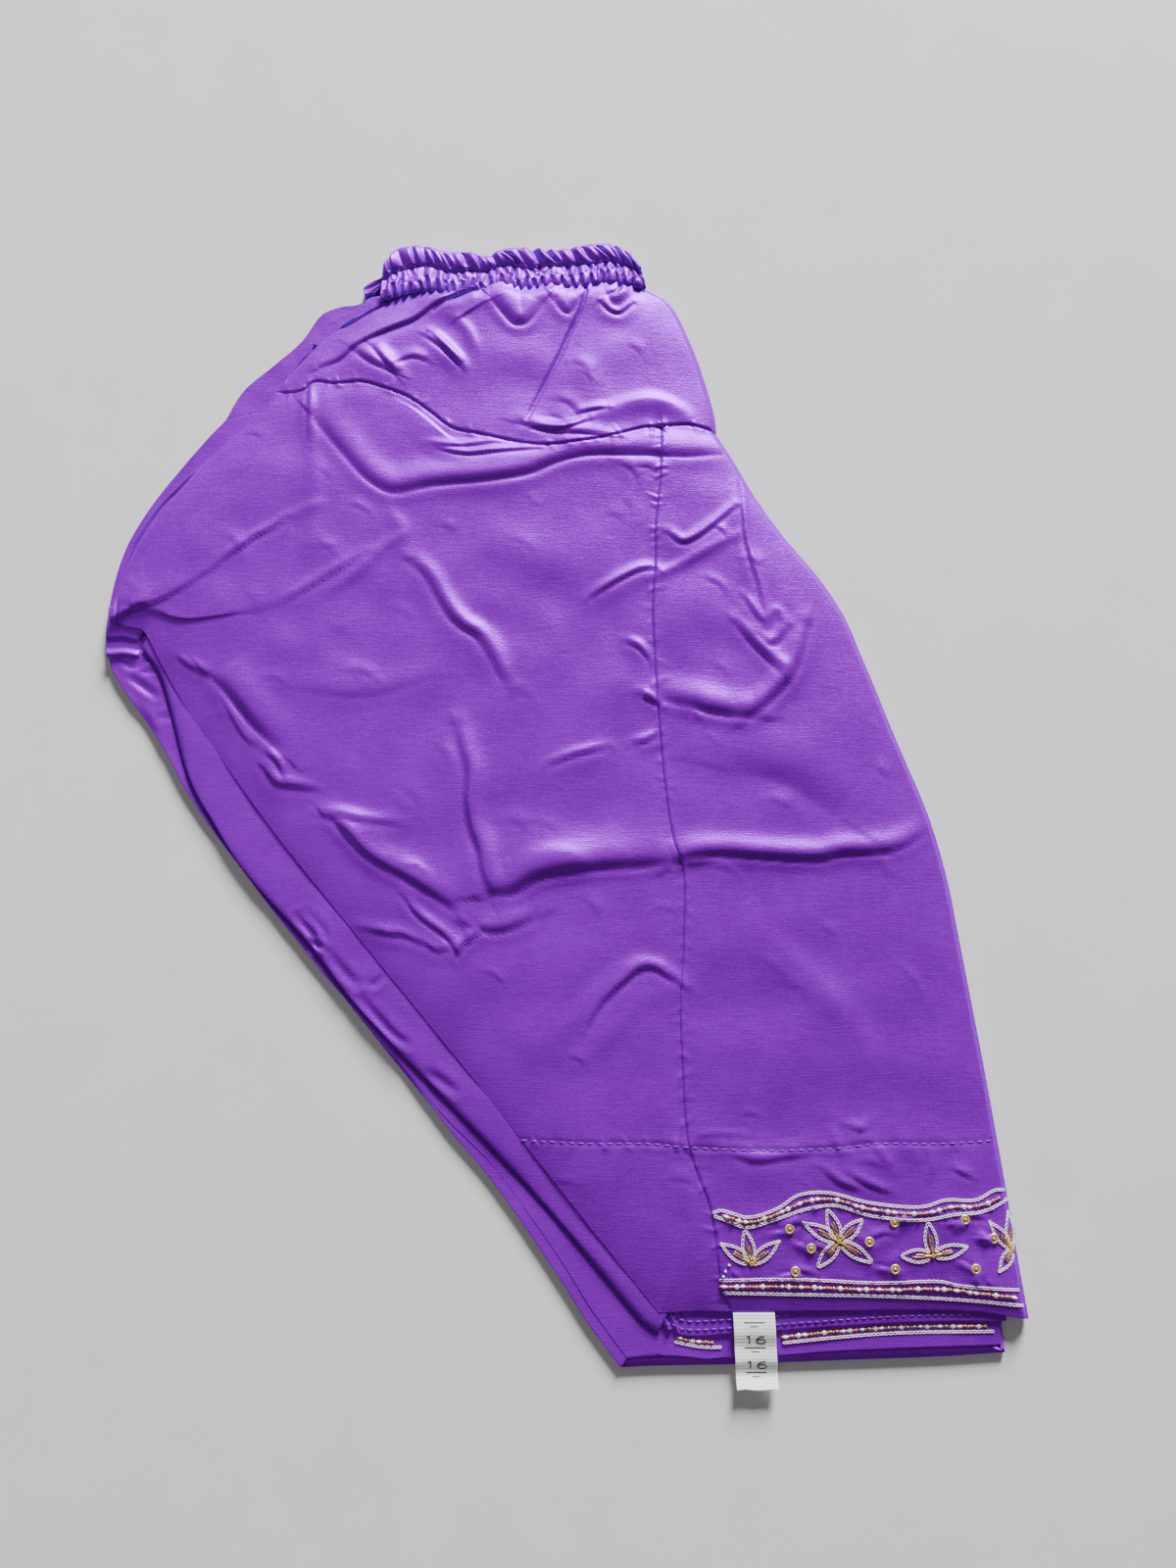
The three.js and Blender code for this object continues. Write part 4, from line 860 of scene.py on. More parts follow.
back_fold = line["upper_back_fold"]
lower_edge = join(line["under_gore_edge"], line["under_inseam"])
lower_inner = np.vstack([shifted(line["gore_left"], TUCK_IN),
                         shifted(back_fold[back_fold[:, 1] > -200], TUCK_IN)[1:],
                         smooth([(41, -214.5), (46.5, -222), (47.3, -239)])])
lower_gore_grid = patch(np.array([lower_edge[0], lower_inner[0]]), line["under_hem"], lower_edge, lower_inner,
                        shares(26), shares(420, 0.2))
LOWER_CREASES = [  # height, width, path
    (-0.7, 1.5, [(-187.5, 49), (-183.5, 46.5), (-179, 48.5)]),
    (-0.9, 1.5, [(-184.5, 42), (-179, 38), (-175.5, 35.5), (-172, 33)]),
    (-0.7, 1.3, [(-180, 44), (-174.5, 45)]),
    (-0.5, 1.6, [(-170, 22.5), (-166.5, 24.5)]),
    (-0.6, 2, [(-181.5, 28.5), (-177, 22.5), (-171.5, 14.5)]),
]
lower_gore_z = crumple(lower_gore_grid, wavy(lower_gore_grid, SECOND_PLY), LOWER_CREASES)
to_back_fold = near(back_fold[::2], lower_gore_grid[..., 0], lower_gore_grid[..., 1])[0]
lower_gore_z -= 1.0 * bell(to_back_fold / 1.5)  # it dives into the gap under the next ply
lower_gore = cloth("lower_gore", lower_gore_grid, lower_gore_z, PLY_ROLL, satin)
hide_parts("gore_front_under")

leg_part, seam_part = line["under_leg_edge"], line["under_inseam"]
back_strip_grid = strip(leg_part[leg_part[:, 1] < -122], seam_part[seam_part[:, 1] < -122], 160, 10)
emerge = np.clip(np.linspace(0, 4, 161), 0.12, 1)[:, None, None]  # it widens over its first quarter
back_strip_grid = back_strip_grid[:, -1:] + (back_strip_grid - back_strip_grid[:, -1:]) * emerge
back_strip_z = wavy(back_strip_grid, SECOND_PLY - 0.15, 0.12)
back_strip = cloth("lower_gore_back", back_strip_grid, back_strip_z, PLY_ROLL, satin, under=1.0)
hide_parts("gore_back_under")

low_hem = line["under_hem_end"]
hem_grid = strip(low_hem[::-1], low_hem[::-1] + (-1, 24), 190, 40).transpose(1, 0, 2)[::-1, ::-1]
lower_hem = cloth("lower_centre_panel", hem_grid, wavy(hem_grid, SECOND_PLY, 0.18), PLY_ROLL, satin)
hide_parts("centre_panel_under")

strips = [lower_yoke, lower_gore, back_strip, lower_hem]
print("strips of the lower leg:", [piece.name for piece in strips])

# %% [markdown]
# ## Back gore and hem facing
# Along the inseam the upper leg's back gore rolls out from under the front one, and packing has
# crushed it. In the gap between both hems the facing shows the dull inside of the satin, and its
# darker colour is painted shade in that gap.

# %% Back gore and hem facing
inner_seam = shifted(line["inseam"], TUCK_IN)
roll_grid = strip(back_fold, inner_seam, 380, 24)
ROLL_CREASES = [  # height, width, path
    (-0.9, 1.6, [(-105.5, -63.5), (-102, -67.5), (-98.5, -71.5), (-97, -76)]),
    (-0.8, 1.3, [(-102.5, -61.5), (-97.5, -66), (-93.5, -70.5), (-92.5, -75)]),
    (-0.7, 1.2, [(-99, -75), (-96, -76), (-92, -78.5)]),
    (-0.7, 1.8, [(-91, -79.5), (-87, -84.5), (-82.5, -89.5), (-79, -92.5)]),
    (-0.6, 1.4, [(-75, -90.5), (-72, -92.5), (-69, -89.5)]),
    (-0.8, 1.6, [(-77.5, -98), (-69, -107), (-62.5, -113.5), (-56.5, -117.5)]),
    (-0.7, 1.8, [(-47.5, -128.5), (-42.5, -132), (-36.5, -136.5)]),
    (-0.5, 1.3, [(-93, -96.5), (-83.5, -106.5), (-75.5, -117)]),
    (-0.5, 1.2, [(-55, -142.5), (-50, -150.5), (-46, -158.5)]),
    (-0.5, 1.5, [(-13.5, -187), (-7, -193.5), (-2.5, -201.5)]),
]
roll_share = np.linspace(0, 1, 25)[None, :]
roll_z = wavy(roll_grid, THIRD_PLY, 0.3) + 0.6 * roll_share
roll_z += (0.7 + 0.3 * np.sin(roll_grid[..., 1] / 13)) * np.sin(np.pi * roll_share)
inseam_roll = cloth("inseam_roll", roll_grid, crumple(roll_grid, roll_z, ROLL_CREASES), PLY_ROLL, satin)
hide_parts("gore_back_upper")

back_hem = line["upper_back_hem"]
facing_edge = back_hem[back_hem[:, 0] > 48.5]
facing_grid = strip(facing_edge, facing_edge + (0, 14), 170, 20).transpose(1, 0, 2)[::-1]
facing_x, facing_y = facing_grid[..., 0], facing_grid[..., 1]
crushed = 0.9 * bell((facing_x - 51) / 4) * np.sin(1.9 * facing_x + 0.8 * facing_y)
facing_z = wavy(facing_grid, THIRD_PLY, 0.15) + crushed
# the facing takes the darker satin, whose colour is painted shade in the gap between the hems
hem_facing = cloth("hem_facing", facing_grid, facing_z, PLY_ROLL, shaded_satin)
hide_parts("hem_facing_upper")
print("creases of the back gore:", len(ROLL_CREASES))

# %% [markdown]
# ## Small turns at yoke and crotch
# Beside the upper yoke a turned band of the lower one shows, and where the crotch opens two
# rounded lips of cloth lie on each other with dark hollows between them.

# %% Small turns at yoke and crotch
turn_part = line["yoke_left"]
turn_inner = shifted(turn_part[(turn_part[:, 1] > 201) & (turn_part[:, 0] < -72)], TUCK_IN)
turn_grid = strip(line["mid_ply_edge"], turn_inner, 60, 18)
yoke_turn = cloth("yoke_turn", turn_grid, wavy(turn_grid, THIRD_PLY, 0.2), 1.3, satin)
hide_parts("yoke_turn_under")

LIPS = [  # name, node, left edge, right edge
    ("crotch_lip_high", "crotch_lip_upper", [(-195.3, 74), (-195.3, 60.6)], [(-176.4, 74), (-180.4, 58.8)]),
    ("crotch_lip_low", "crotch_lip_under", [(-195, 54.6), (-194.6, 51)], [(-181, 54), (-181, 50.6)]),
]
lips = []
for name, solid, left, right in LIPS:
    lip_grid = strip(np.array(left, float), np.array(right, float), 24, 24)
    inward = np.linspace(0, 1, 25)[None, :]
    lip_grid[..., 1] += 0.5 * np.sin(lip_grid[..., 0] / 2.6 + left[0][1]) * np.sin(np.pi * inward)
    dome = 0.6 * np.sin(np.pi * np.linspace(0, 1, 25) ** 1.5)[:, None] - 1.3 * inward ** 3
    lips.append(cloth(name, lip_grid, wavy(lip_grid, 4.1, 0.35) + dome, 1.4, satin, bulge=0.4))
    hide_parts(solid)
print("turned pieces:", 1 + len(lips))

# %% [markdown]
# ## The underside
# The garment is judged from below too. The lowest ply is the back of the lower leg: it is flat
# where it rests, but its creases arch up from the table.

# %% The underside
UNDER_CREASES = [  # height, width, path
    (0.8, 4.0, [(-60, 120), (-10, 126), (40, 130), (78, 128)]),
    (0.7, 3.5, [(-120, 90), (-84, 62), (-60, 20)]),
    (0.9, 4.5, [(-20, 60), (-12, 10), (-24, -40)]),
    (0.8, 3.0, [(-10, -52), (50, -47), (120, -44), (160, -30)]),
    (0.6, 3.5, [(60, 90), (98, 62), (124, 30)]),
    (0.7, 3.0, [(-70, -30), (-44, -60), (-8, -72)]),
    (0.6, 3.0, [(60, -90), (110, -112), (150, -120)]),
    (0.6, 3.0, [(-90, 190), (-40, 180), (10, 196)]),
    (0.7, 3.0, [(0, 222), (-8, 200), (-24, 172)]),
]
SEAM_RIDGE, RIDGE_REACH = 0.55, 1.1  # mm
ARCH_LIMIT = 1.0  # mm, the highest arch


def under_height(x, y):
    """Height of the underside over the table."""
    z = np.zeros(x.shape)
    for lift, width, marks in UNDER_CREASES:
        distance, along, _ = near(smooth(marks, 5), x, y)
        z += lift * fade(along) * bell(distance / width)
    for name in ("yoke_seam", "panel_seam"):
        z += SEAM_RIDGE * bell(near(line[name][::2], x, y)[0] / RIDGE_REACH)
    z += 0.1 * (1 + np.sin(x / 9 + 2 * np.sin(y / 27))) * (1 + np.sin(y / 11 + 1))
    return np.minimum(z, ARCH_LIMIT)


def inner_ply(left, end, fold_inset, rows=150, columns=100):
    """A grid between the left edge, the hem, the outer fold and the line under the band."""
    hem, heel = end
    fold_part = outer_fold[(outer_fold[:, 1] < 226) & (outer_fold[:, 1] > heel[1] + 8)]
    right = np.vstack([shifted(fold_part, -fold_inset), heel, hem[-1]])
    band = line["band_low"]
    waist = np.vstack([left[0], shifted(band[(band[:, 0] > -60) & (band[:, 0] < 40)], -1.2), right[0]])
    return patch(waist, hem, left, right, shares(columns, 0.5), shares(rows, 0.5))


edge_part = line["under_yoke_edge"]
lowest_left = shifted(np.vstack([edge_part[edge_part[:, 0] < -84], line["under_gore_edge"][1:],
                                 line["under_leg_edge"][1:]]), 0.4)
lowest_hem = line["under_back_hem"]
lowest_left = np.vstack([lowest_left[:-1], lowest_hem[0]])
lowest_grid = inner_ply(lowest_left, (lowest_hem, (185, -227)), 2.5)
mirrored = lowest_grid[:, ::-1]
lift = under_height(mirrored[..., 0], mirrored[..., 1])
edge_room = np.minimum(near(lowest_left[::3], mirrored[..., 0], mirrored[..., 1])[0],
                       near(outer_fold[::3], mirrored[..., 0], mirrored[..., 1])[0])
lift = lift * np.clip(edge_room / 6, 0.12, 1)


def turned_up(x, y):
    """The turned edge stands higher at the hem, where it is pressed against the ply above."""
    return -1.2 - 1.0 * np.clip((-234 - y) / 2, 0, 1)


underside = cloth("lower_back", mirrored, lift, turned_up, satin, bulge=-0.4, under=-12.0)
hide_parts("folded_core")
print("underside lifts up to, mm:", round(float(lift.max()), 2))

# %% [markdown]
# ## Hidden plies
# Two more plies fill the inside, so that no light falls through the gaps between the visible
# edges. They are plain, because nobody sees more of them than a dark line.

# %% Hidden plies
INNER_INSET = 9.2  # mm from the visible edges to the plies inside
INNER_LOW, INNER_HIGH = 2.9, 4.25  # mm, their faces
second_fold = back_fold[(back_fold[:, 1] < 46) & (back_fold[:, 1] > -196)]
second_hem = np.array([(48.6, -213), (90, -213.5), (181, -209.5)])
inner_yoke = shifted(line["yoke_left"], INNER_INSET)
second_left = np.vstack([inner_yoke, shifted(line["gore_left"][1:-28], INNER_INSET),
                         shifted(second_fold, INNER_INSET), second_hem[0]])
second_grid = inner_ply(second_left, (second_hem, (181.5, -205)), 3.5)
# both hidden plies take the darker satin, whose colour is painted shade in the gaps between the plies
second_ply = cloth("inner_ply_low", second_grid, INNER_LOW, 1.6, shaded_satin)
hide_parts("folded_core")

inseam_part = line["inseam"]
inseam_part = inseam_part[(inseam_part[:, 1] < 44) & (inseam_part[:, 1] > -196)]
third_hem = np.array([(58, -209.5), (105, -210), (181, -207.5)])
gore_part = line["gore_left"]
third_left = np.vstack([inner_yoke,
                        shifted(gore_part[(gore_part[:, 1] < 172) & (gore_part[:, 1] > 92)], 2), [(-173, 77)],
                        shifted(inseam_part, INNER_INSET), third_hem[0]])
third_grid = inner_ply(third_left, (third_hem, (181.5, -203)), 4.5)
third_ply = cloth("inner_ply_high", third_grid, INNER_HIGH, 1.2, shaded_satin)
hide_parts("folded_core")
print("hidden plies:", second_ply.name, third_ply.name)

# %% [markdown]
# ## Gathered waistband
# A strip half as long again as the waist is folded over an elastic. A row of stitching divides it:
# above it the cloth stands up as a ruffle with slanting gathers, and below it the elastic lies
# in a channel with short upright puckers. A cloth simulation could gather it, but each gather
# has its own look here, so they are pressed in one by one, on the band laid out flat.

# %% Gathered waistband
BAND_LENGTH, BAND_HEIGHT = 128, 20
BAND_COLUMNS, BAND_ROWS = 620, 88
STITCH_SHARE = 0.49
BAND_UNDERSIDE, BAND_BODY, BAND_ROLL = 4.5, 2.6, 1.9
BAND_LOWEST, BAND_HIGHEST = BAND_UNDERSIDE + 0.9, 11.4
band_s, band_t = np.meshgrid(np.linspace(0, BAND_LENGTH, BAND_COLUMNS + 1),
                             np.linspace(0, BAND_HEIGHT, BAND_ROWS + 1))
stitch_t = STITCH_SHARE * BAND_HEIGHT + 0.35 * np.sin(band_s / 5.1) + 0.2 * np.sin(band_s / 2.3 + 1)
above = band_t < stitch_t
within = np.where(above, band_t / stitch_t, (band_t - stitch_t) / (BAND_HEIGHT - stitch_t))
arch = np.sqrt(np.clip(np.sin(np.pi * np.clip(within, 0, 1)), 0, 1))
band_z = BAND_UNDERSIDE + BAND_BODY - 0.4 + np.where(above, 2.3, 1.7) * arch
band_z += np.where(above, 0, 1.3) * within ** 2  # the free lower rim stands over the yoke


def gather(s, t_start, t_end, slant, depth, width):
    """One gather: a deep narrow valley with a rounded roll of cloth on each side."""
    t = np.clip((band_t - t_start) / (t_end - t_start), 0, 1)
    centre = s + slant * t + 0.5 * np.sin(3 * t + s)
    off = (band_s - centre) / width
    strength = np.sin(np.pi * np.clip((band_t - t_start) / (t_end - t_start), 0.0, 1.0)) ** 0.5
    valley = np.exp(-np.abs(off) ** 1.4)
    rolls = 0.4 * (bell((off - 2.3) / 1.1) + bell((off + 2.3) / 1.1))
    return depth * strength * (rolls - valley)


print("flat band, points:", band_s.size)

# %% [markdown]
# ## Pressing the gathers
# The ruffle's gathers slant more towards the right, the channel's stand upright below the
# stitching, and the free lower rim has short ones. Steps, slants and depths are all uneven.

# %% Pressing the gathers
place = 3.0
gathers = 0
while place < BAND_LENGTH - 4:
    slant = 2.5 + 5.5 * place / BAND_LENGTH + chance.uniform(-1.2, 1.2)
    top = chance.uniform(-2.0, 2.5)
    bottom = STITCH_SHARE * BAND_HEIGHT - chance.uniform(-0.6, 1.6)
    band_z += gather(place, top, bottom, slant, chance.uniform(0.8, 1.9), chance.uniform(0.8, 1.5))
    place += chance.uniform(4.2, 8.5)
    gathers += 1
place = 1.5
while place < BAND_LENGTH - 1:
    top = STITCH_SHARE * BAND_HEIGHT - chance.uniform(0.2, 1.2)
    bottom = top + chance.uniform(4.5, 10.0)
    slant, depth = chance.uniform(-0.9, 1.5), chance.uniform(0.7, 1.5)
    band_z += gather(place, top, bottom, slant, depth, chance.uniform(0.65, 1.1))
    place += chance.uniform(3.0, 5.6)
    gathers += 1
place = 1.0
while place < BAND_LENGTH:
    top = BAND_HEIGHT - chance.uniform(3.0, 6.0)
    band_z += gather(place, top, BAND_HEIGHT + 3, chance.uniform(-0.8, 0.8), chance.uniform(0.9, 1.6), 0.8)
    place += chance.uniform(3.0, 5.4)
    gathers += 1
band_z -= (0.4 + 0.2 * np.sin(1.7 * band_s)) * bell((band_t - stitch_t) / 0.6)
band_z = np.clip(band_z, BAND_LOWEST, BAND_HIGHEST)
print("gathers:", gathers, "highest, mm:", round(float(band_z.max()), 2))

# %% [markdown]
# ## Laying the band on the garment
# The flat strip is now laid between its two real edges. Its top edge waves with the gathers,
# and its lower edge stands free over the yoke in small scallops, which throw the dark line that
# every gathered waistband has.

# %% Laying the band on the garment
band_u = np.linspace(0, 1, BAND_COLUMNS + 1)
top_edge, low_edge = spaced(line["band_top"], band_u), spaced(line["band_low"], band_u)
t = (band_t / BAND_HEIGHT)[..., None]
band_grid = top_edge[None] * (1 - t) + low_edge[None] * t
wave = (band_z[2] - band_z[2].mean()) * 0.45
band_grid[..., 1] += (1 - t[..., 0]) ** 2 * wave[None]
scallop = (band_z[-2] - band_z[-2].mean()) * 0.55
band_grid[..., 1] -= t[..., 0] ** 4 * (scallop[None] + 1.2)
waistband = cloth("waistband", band_grid, band_z, BAND_ROLL, satin, bulge=0.5, under=1.5)
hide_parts("waistband_upper")
print("band faces:", len(waistband.data.polygons))

# %% [markdown]
# ## Plies below the band
# The rest of the same band lies under it, with a loop of it turned out on the left. It is built
# as a wall that shows three rims, closed by a lid that climbs to a spine in the middle.

# %% Plies below the band
band_top, band_low = line["band_top"], line["band_low"]
plies_line = np.vstack([band_top[(band_top[:, 0] > -75) & (band_top[:, 0] < 41)] - (0, 1.5),
                        [(42.5, 238), (44.5, 231.4)],
                        (band_low[(band_low[:, 0] > -64) & (band_low[:, 0] < 44)] + (0, 1))[::-1],
                        line["band_loop"][::-1]])
AROUND, WALL_ROWS, LID_ROWS = 420, 24, 12
PLIES_TOP, LOOP_TOP, UNDER_BAND = 4.2, 5.3, 4.35  # mm, of the wall, of the loop, and below the band
RIMS, RIM_DEPTH = 3, 0.45  # plies that show in the wall, and how deep the line between two is
LOOP_EDGE = -76  # mm, the loop lies left of it
ring = spaced(plies_line, np.arange(AROUND) / AROUND)[::-1]
out = -left_of(unit(np.roll(ring, -1, axis=0) - np.roll(ring, 1, axis=0)))
spine = np.stack([np.clip(ring[:, 0], -72, 36), 237 + 0 * ring[:, 0]], axis=-1)
ripple = 0.35 * np.sin(np.arange(AROUND) * 0.93) + 0.3 * np.sin(np.arange(AROUND) * 0.41 + 1)
levels = []
for k in range(WALL_ROWS + 1):
    rise_share = k / WALL_ROWS
    bump = RIM_DEPTH * abs(math.sin(math.pi * RIMS * k / WALL_ROWS)) ** 0.5 - RIM_DEPTH
    levels.append(np.concatenate([ring + out * (bump + 0.8 * ripple[:, None] * rise_share),
                                  np.full((AROUND, 1), PLIES_TOP * k / WALL_ROWS)], axis=1))
for k in range(1, LID_ROWS + 1):
    share = (k / (LID_ROWS + 1)) ** 1.3
    lift = PLIES_TOP + (0.1 + 0.9 * ripple) * math.sin(math.pi * min(1, 1.5 * share))
    lift = np.minimum(lift, np.where(ring[:, 0] > LOOP_EDGE, UNDER_BAND, LOOP_TOP))
    levels.append(np.concatenate([ring * (1 - share) + spine * share, lift[:, None]], axis=1))
stack = np.concatenate(levels)
steps = np.arange(AROUND)
ahead = np.roll(steps, -1)
corners = np.stack([steps, ahead, ahead + AROUND, steps + AROUND], axis=-1)
sides = [corners + k * AROUND for k in range(len(levels) - 1)]
plies_faces = np.concatenate(sides).tolist() + [steps[::-1].tolist()]
band_plies = build("waistband_plies", stack, plies_faces, satin)
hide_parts("waistband_under")
print("faces of its plies:", len(band_plies.data.polygons))

# %% [markdown]
# ## Thread as small tubes
# Stitches, embroidery and beads are thread and metal laid on the cloth. A bump map could hint at
# them, but gold thread needs real roundness to sparkle. So one collector gathers many short
# tubes and balls into a single mesh, with few sides each, because they are under a millimetre.

# %% Thread as small tubes
class Thread:
    """Collects tubes and beads, and makes one piece of them."""

    def __init__(self):
        self.points, self.faces, self.count = [], [], 0

    def tube(self, path, radii, sides=5, closed=False):
        path = np.asarray(path, float)
        radii = np.broadcast_to(radii, len(path))
        if closed:
            along = np.roll(path, -1, axis=0) - np.roll(path, 1, axis=0)
        else:
            along = np.gradient(path, axis=0)
        along = unit(along)
        level = unit(np.cross(along, (0, 0, 1)))
        raised = np.cross(level, along)
        for k, turn in enumerate(np.arange(sides) * 2 * math.pi / sides):
            ring = path + radii[:, None] * (level * math.cos(turn) + raised * math.sin(turn))
            self.points.append(ring)
        n = len(path)
        rows = np.arange(n if closed else n - 1)
        for k in range(sides):
            a = self.count + k * n + rows
            b = self.count + k * n + (rows + 1) % n
            c = self.count + (k + 1) % sides * n + (rows + 1) % n
            d = self.count + (k + 1) % sides * n + rows
            self.faces += np.stack([a, b, c, d], axis=-1).tolist()
        self.count += sides * n

    def ball(self, centre, radius, flat=1.0, rings=5, sides=8):
        turns = np.linspace(0.02, math.pi - 0.02, rings + 1)
        path = np.array([(0, 0, math.cos(a)) for a in turns]) * radius * flat + centre
        spokes = np.arange(sides) * 2 * math.pi / sides
        for a, middle in zip(turns, path):
            ring = [middle + radius * math.sin(a) * np.array([math.cos(s), math.sin(s), 0]) for s in spokes]
            self.points.append(np.array(ring))
        for r in range(rings):
            a = self.count + r * sides + np.arange(sides)
            b = self.count + r * sides + (np.arange(sides) + 1) % sides
            self.faces += np.stack([a, a + sides, b + sides, b], axis=-1).tolist()
        self.count += (rings + 1) * sides

    def piece(self, name, material, slot_name):
        return build(name, np.concatenate(self.points), self.faces, material)


def walk(path, step, start=0.0):
    """Places at even steps along a path, each with its direction."""
    stops = np.arange(start, lengths_along(path)[-1] - step * 0.5, step)
    return at_length(path, stops), at_length(path, stops + 0.8 * step)


def stitches(collector, path, step, radius, surface, lift=0.12):
    """A row of plain stitches, each a short tube that dives into the cloth at both ends."""
    for a, b in zip(*walk(path, step)):
        spots = a + (b - a) * np.linspace(0, 0.95, 5)[:, None]
        arc = np.array([-0.25, 0.02, 0.1, 0.02, -0.25])
        z = surface(spots[:, 0], spots[:, 1]) + lift + arc
        collector.tube(np.column_stack([spots, z]), [0.5 * radius, radius, radius, radius, 0.5 * radius])


print("collector ready")

# %% [markdown]
# ## Sewing thread
# The seams are sewn in matching polyester thread: two threads twisted together, 0.35 mm thick,
# a little paler than the satin because it lies proud and catches the light. Its twist is a fine
# wave along the thread, in relief and in colour, with painted shade in its grooves and a painted
# highlight on its crests.

# %% Sewing thread
BAND = math.tau / 20  # width of a wave texture's band at scale one
TWIST_RELIEF = 0.1  # mm that the twist stands up


def thread_material(name, shade, light, roughness, metallic, twist=1.6):
    """Twisted thread: a wave across it for the twist, in mm, whose colour shift is painted shade in the
    grooves and painted highlight on the crests.
    """
    material, tree, shader = new_material(name)
    place = object_place(tree)
    wave = node(tree, "ShaderNodeTexWave", {"Vector": place, "Scale": BAND * grain(twist),
                                            "Distortion": 1.5}, bands_direction="DIAGONAL")
    fleck = speckles(tree, place, 1.1, 1.0)
    # the colour follows the twist's relief: painted shade in its grooves, painted highlight on its crests
    share = node(tree, "ShaderNodeMath", {0: wave.outputs["Fac"], 1: fleck}, operation="MULTIPLY")
    tree.links.new(blend_colours(tree, share.outputs[0], shade, light), shader.inputs["Base Color"])
    relief = node(tree, "ShaderNodeBump", {"Height": wave.outputs["Fac"], "Strength": 0.5,
                                           "Distance": TWIST_RELIEF * MM})
    tree.links.new(relief.outputs[0], shader.inputs["Normal"])
    shader.inputs["Roughness"].default_value = roughness
    shader.inputs["Metallic"].default_value = metallic
    return material


sewing_thread = thread_material("polyester_thread", "#6E0CA4", "#8E22CC", 0.5, 0.0)
sewing_thread.node_tree.nodes["Principled BSDF"].inputs["IOR"].default_value = 1.57
STITCH_STEP, STITCH_RADIUS = 3.9, 0.26
leg_rows = Thread()
stitches(leg_rows, facing_row, STITCH_STEP, STITCH_RADIUS, height_at)
facing_stitches = leg_rows.piece("facing_stitches", sewing_thread, "satin")

band_rows = Thread()
stitch_row = int(round(STITCH_SHARE * BAND_ROWS))
for k in range(6, BAND_COLUMNS - 6, 12):
    run = np.arange(k, k + 7)
    spots = band_grid[stitch_row, run]
    lift = band_z[stitch_row, run] + 0.15 + np.sin(np.linspace(0, math.pi, 7)) * 0.2
    band_rows.tube(np.column_stack([spots, lift]), 0.24)
band_stitches = band_rows.piece("band_stitches", sewing_thread, "satin")

facing_rows = Thread()


def inner_level(x, y):
    """Height of the facing in the gap between both hems."""
    return THIRD_PLY + 0 * x


for offset in (2.2, 5.4):
    stitches(facing_rows, facing_edge + (0, offset), 3.2, 0.22, inner_level, 0.3)
inner_stitches = facing_rows.piece("inner_stitches", sewing_thread, "satin")
print("stitch faces:", [len(p.data.polygons) for p in (facing_stitches, band_stitches, inner_stitches)])

# %% [markdown]
# ## Gold embroidery
# The border is worked in metallised thread: chain stitch for all outlines, and bullion, a soft
# coiled wire, as filling. Metallised thread is a plastic film with a thin metal layer wound on
# a core, so it is bright, pale and a little rough. Chain stitch is a row of loops, and each
# loop is modelled, because its dark eye is what makes the line look embroidered.

# %% Gold embroidery
# each thread's two shades follow its twist: the darker is painted shade in the grooves, the paler a painted
# highlight on the crests
pale_gold = thread_material("metallised_gold_thread", "#FFEEDC", "#FFFFFF", 0.35, 0.05)
yellow_gold = thread_material("yellow_gold_thread", "#C99A28", "#FFE680", 0.35, 0.45)
bullion_copper = thread_material("copper_bullion", "#8C5A48", "#F2C6A6", 0.34, 0.55, 0.8)
CHAIN_STEP, CHAIN_WIDTH, CHAIN_RADIUS = 1.7, 1.15, 0.17  # mm
LOOP_REACH = 0.62  # half of a loop's length against its step, so each starts in the last one


def chain(collector, path, surface, lift=0.25):
    """Chain stitch: closed drop-shaped loops, each starting inside the one before."""
    for a, b in zip(*walk(path, CHAIN_STEP)):
        along = (b - a) / max(1e-6, math.dist(a, b))
        across = np.array([-along[1], along[0]])
        turns = np.arange(9) * 2 * math.pi / 9
        ahead = CHAIN_STEP * LOOP_REACH * (1 - np.cos(turns))
        out = CHAIN_WIDTH / 2 * np.sin(turns) * (0.55 + 0.45 * (1 - np.cos(turns)) / 2)
        spots = a + ahead[:, None] * along + out[:, None] * across
        z = surface(spots[:, 0], spots[:, 1]) + lift + 0.12 * np.sin(ahead)
        collector.tube(np.column_stack([spots, z]), CHAIN_RADIUS, sides=4, closed=True)


BORDERS = {
    "upper_outer": [(68.5, -183.5), (72, -182.5), (83, -185), (95, -181.5), (103.5, -176.5), (115, -175.5),
                    (132.5, -179.5), (153.5, -181), (163, -178.5), (176, -178.5), (184, -175), (188.4, -175)],
    "upper_inner": [(69, -184.5), (76, -187), (82, -189), (96.5, -185), (106, -182), (118, -180.5),
                    (132.5, -184.5), (154.5, -186), (166, -184), (178.5, -183), (188.8, -179)],
    "upper_middle": [(73, -184.5), (82.5, -187), (96, -183.2), (105, -179.3), (116.5, -178), (132.5, -182),
                     (154, -183.5), (164.5, -181.3), (177, -180.8), (188.4, -177)],
    "lower_outer": [(71, -209.5), (100.5, -209), (133.5, -210.5), (160, -210), (167, -211.5), (192, -213.5)],
    "lower_inner": [(72.5, -214.4), (100, -215), (144.5, -216), (172, -217.5), (193.5, -219.5)],
    "lower_middle": [(71.5, -212), (100, -212), (133.5, -213.2), (160, -213), (175.5, -214.6),
                     (193.5, -216.8)],
}
border = {name: smooth(marks) for name, marks in BORDERS.items()}
pale = Thread()
for name in ("upper_outer", "upper_inner", "lower_outer", "lower_inner"):
    chain(pale, border[name], height_at)
print("border lines:", len(BORDERS))

# %% [markdown]
# ## Flowers and sprouts
# Between the borders stand a five-petal flower, three-leaf sprouts and a flower that is cut by
# the centre fold, all ordinary motifs of such hems. A petal is a pointed leaf: two arcs from
# centre to tip. Its outline is chain stitch, and its heart is a run of coiled bullion.

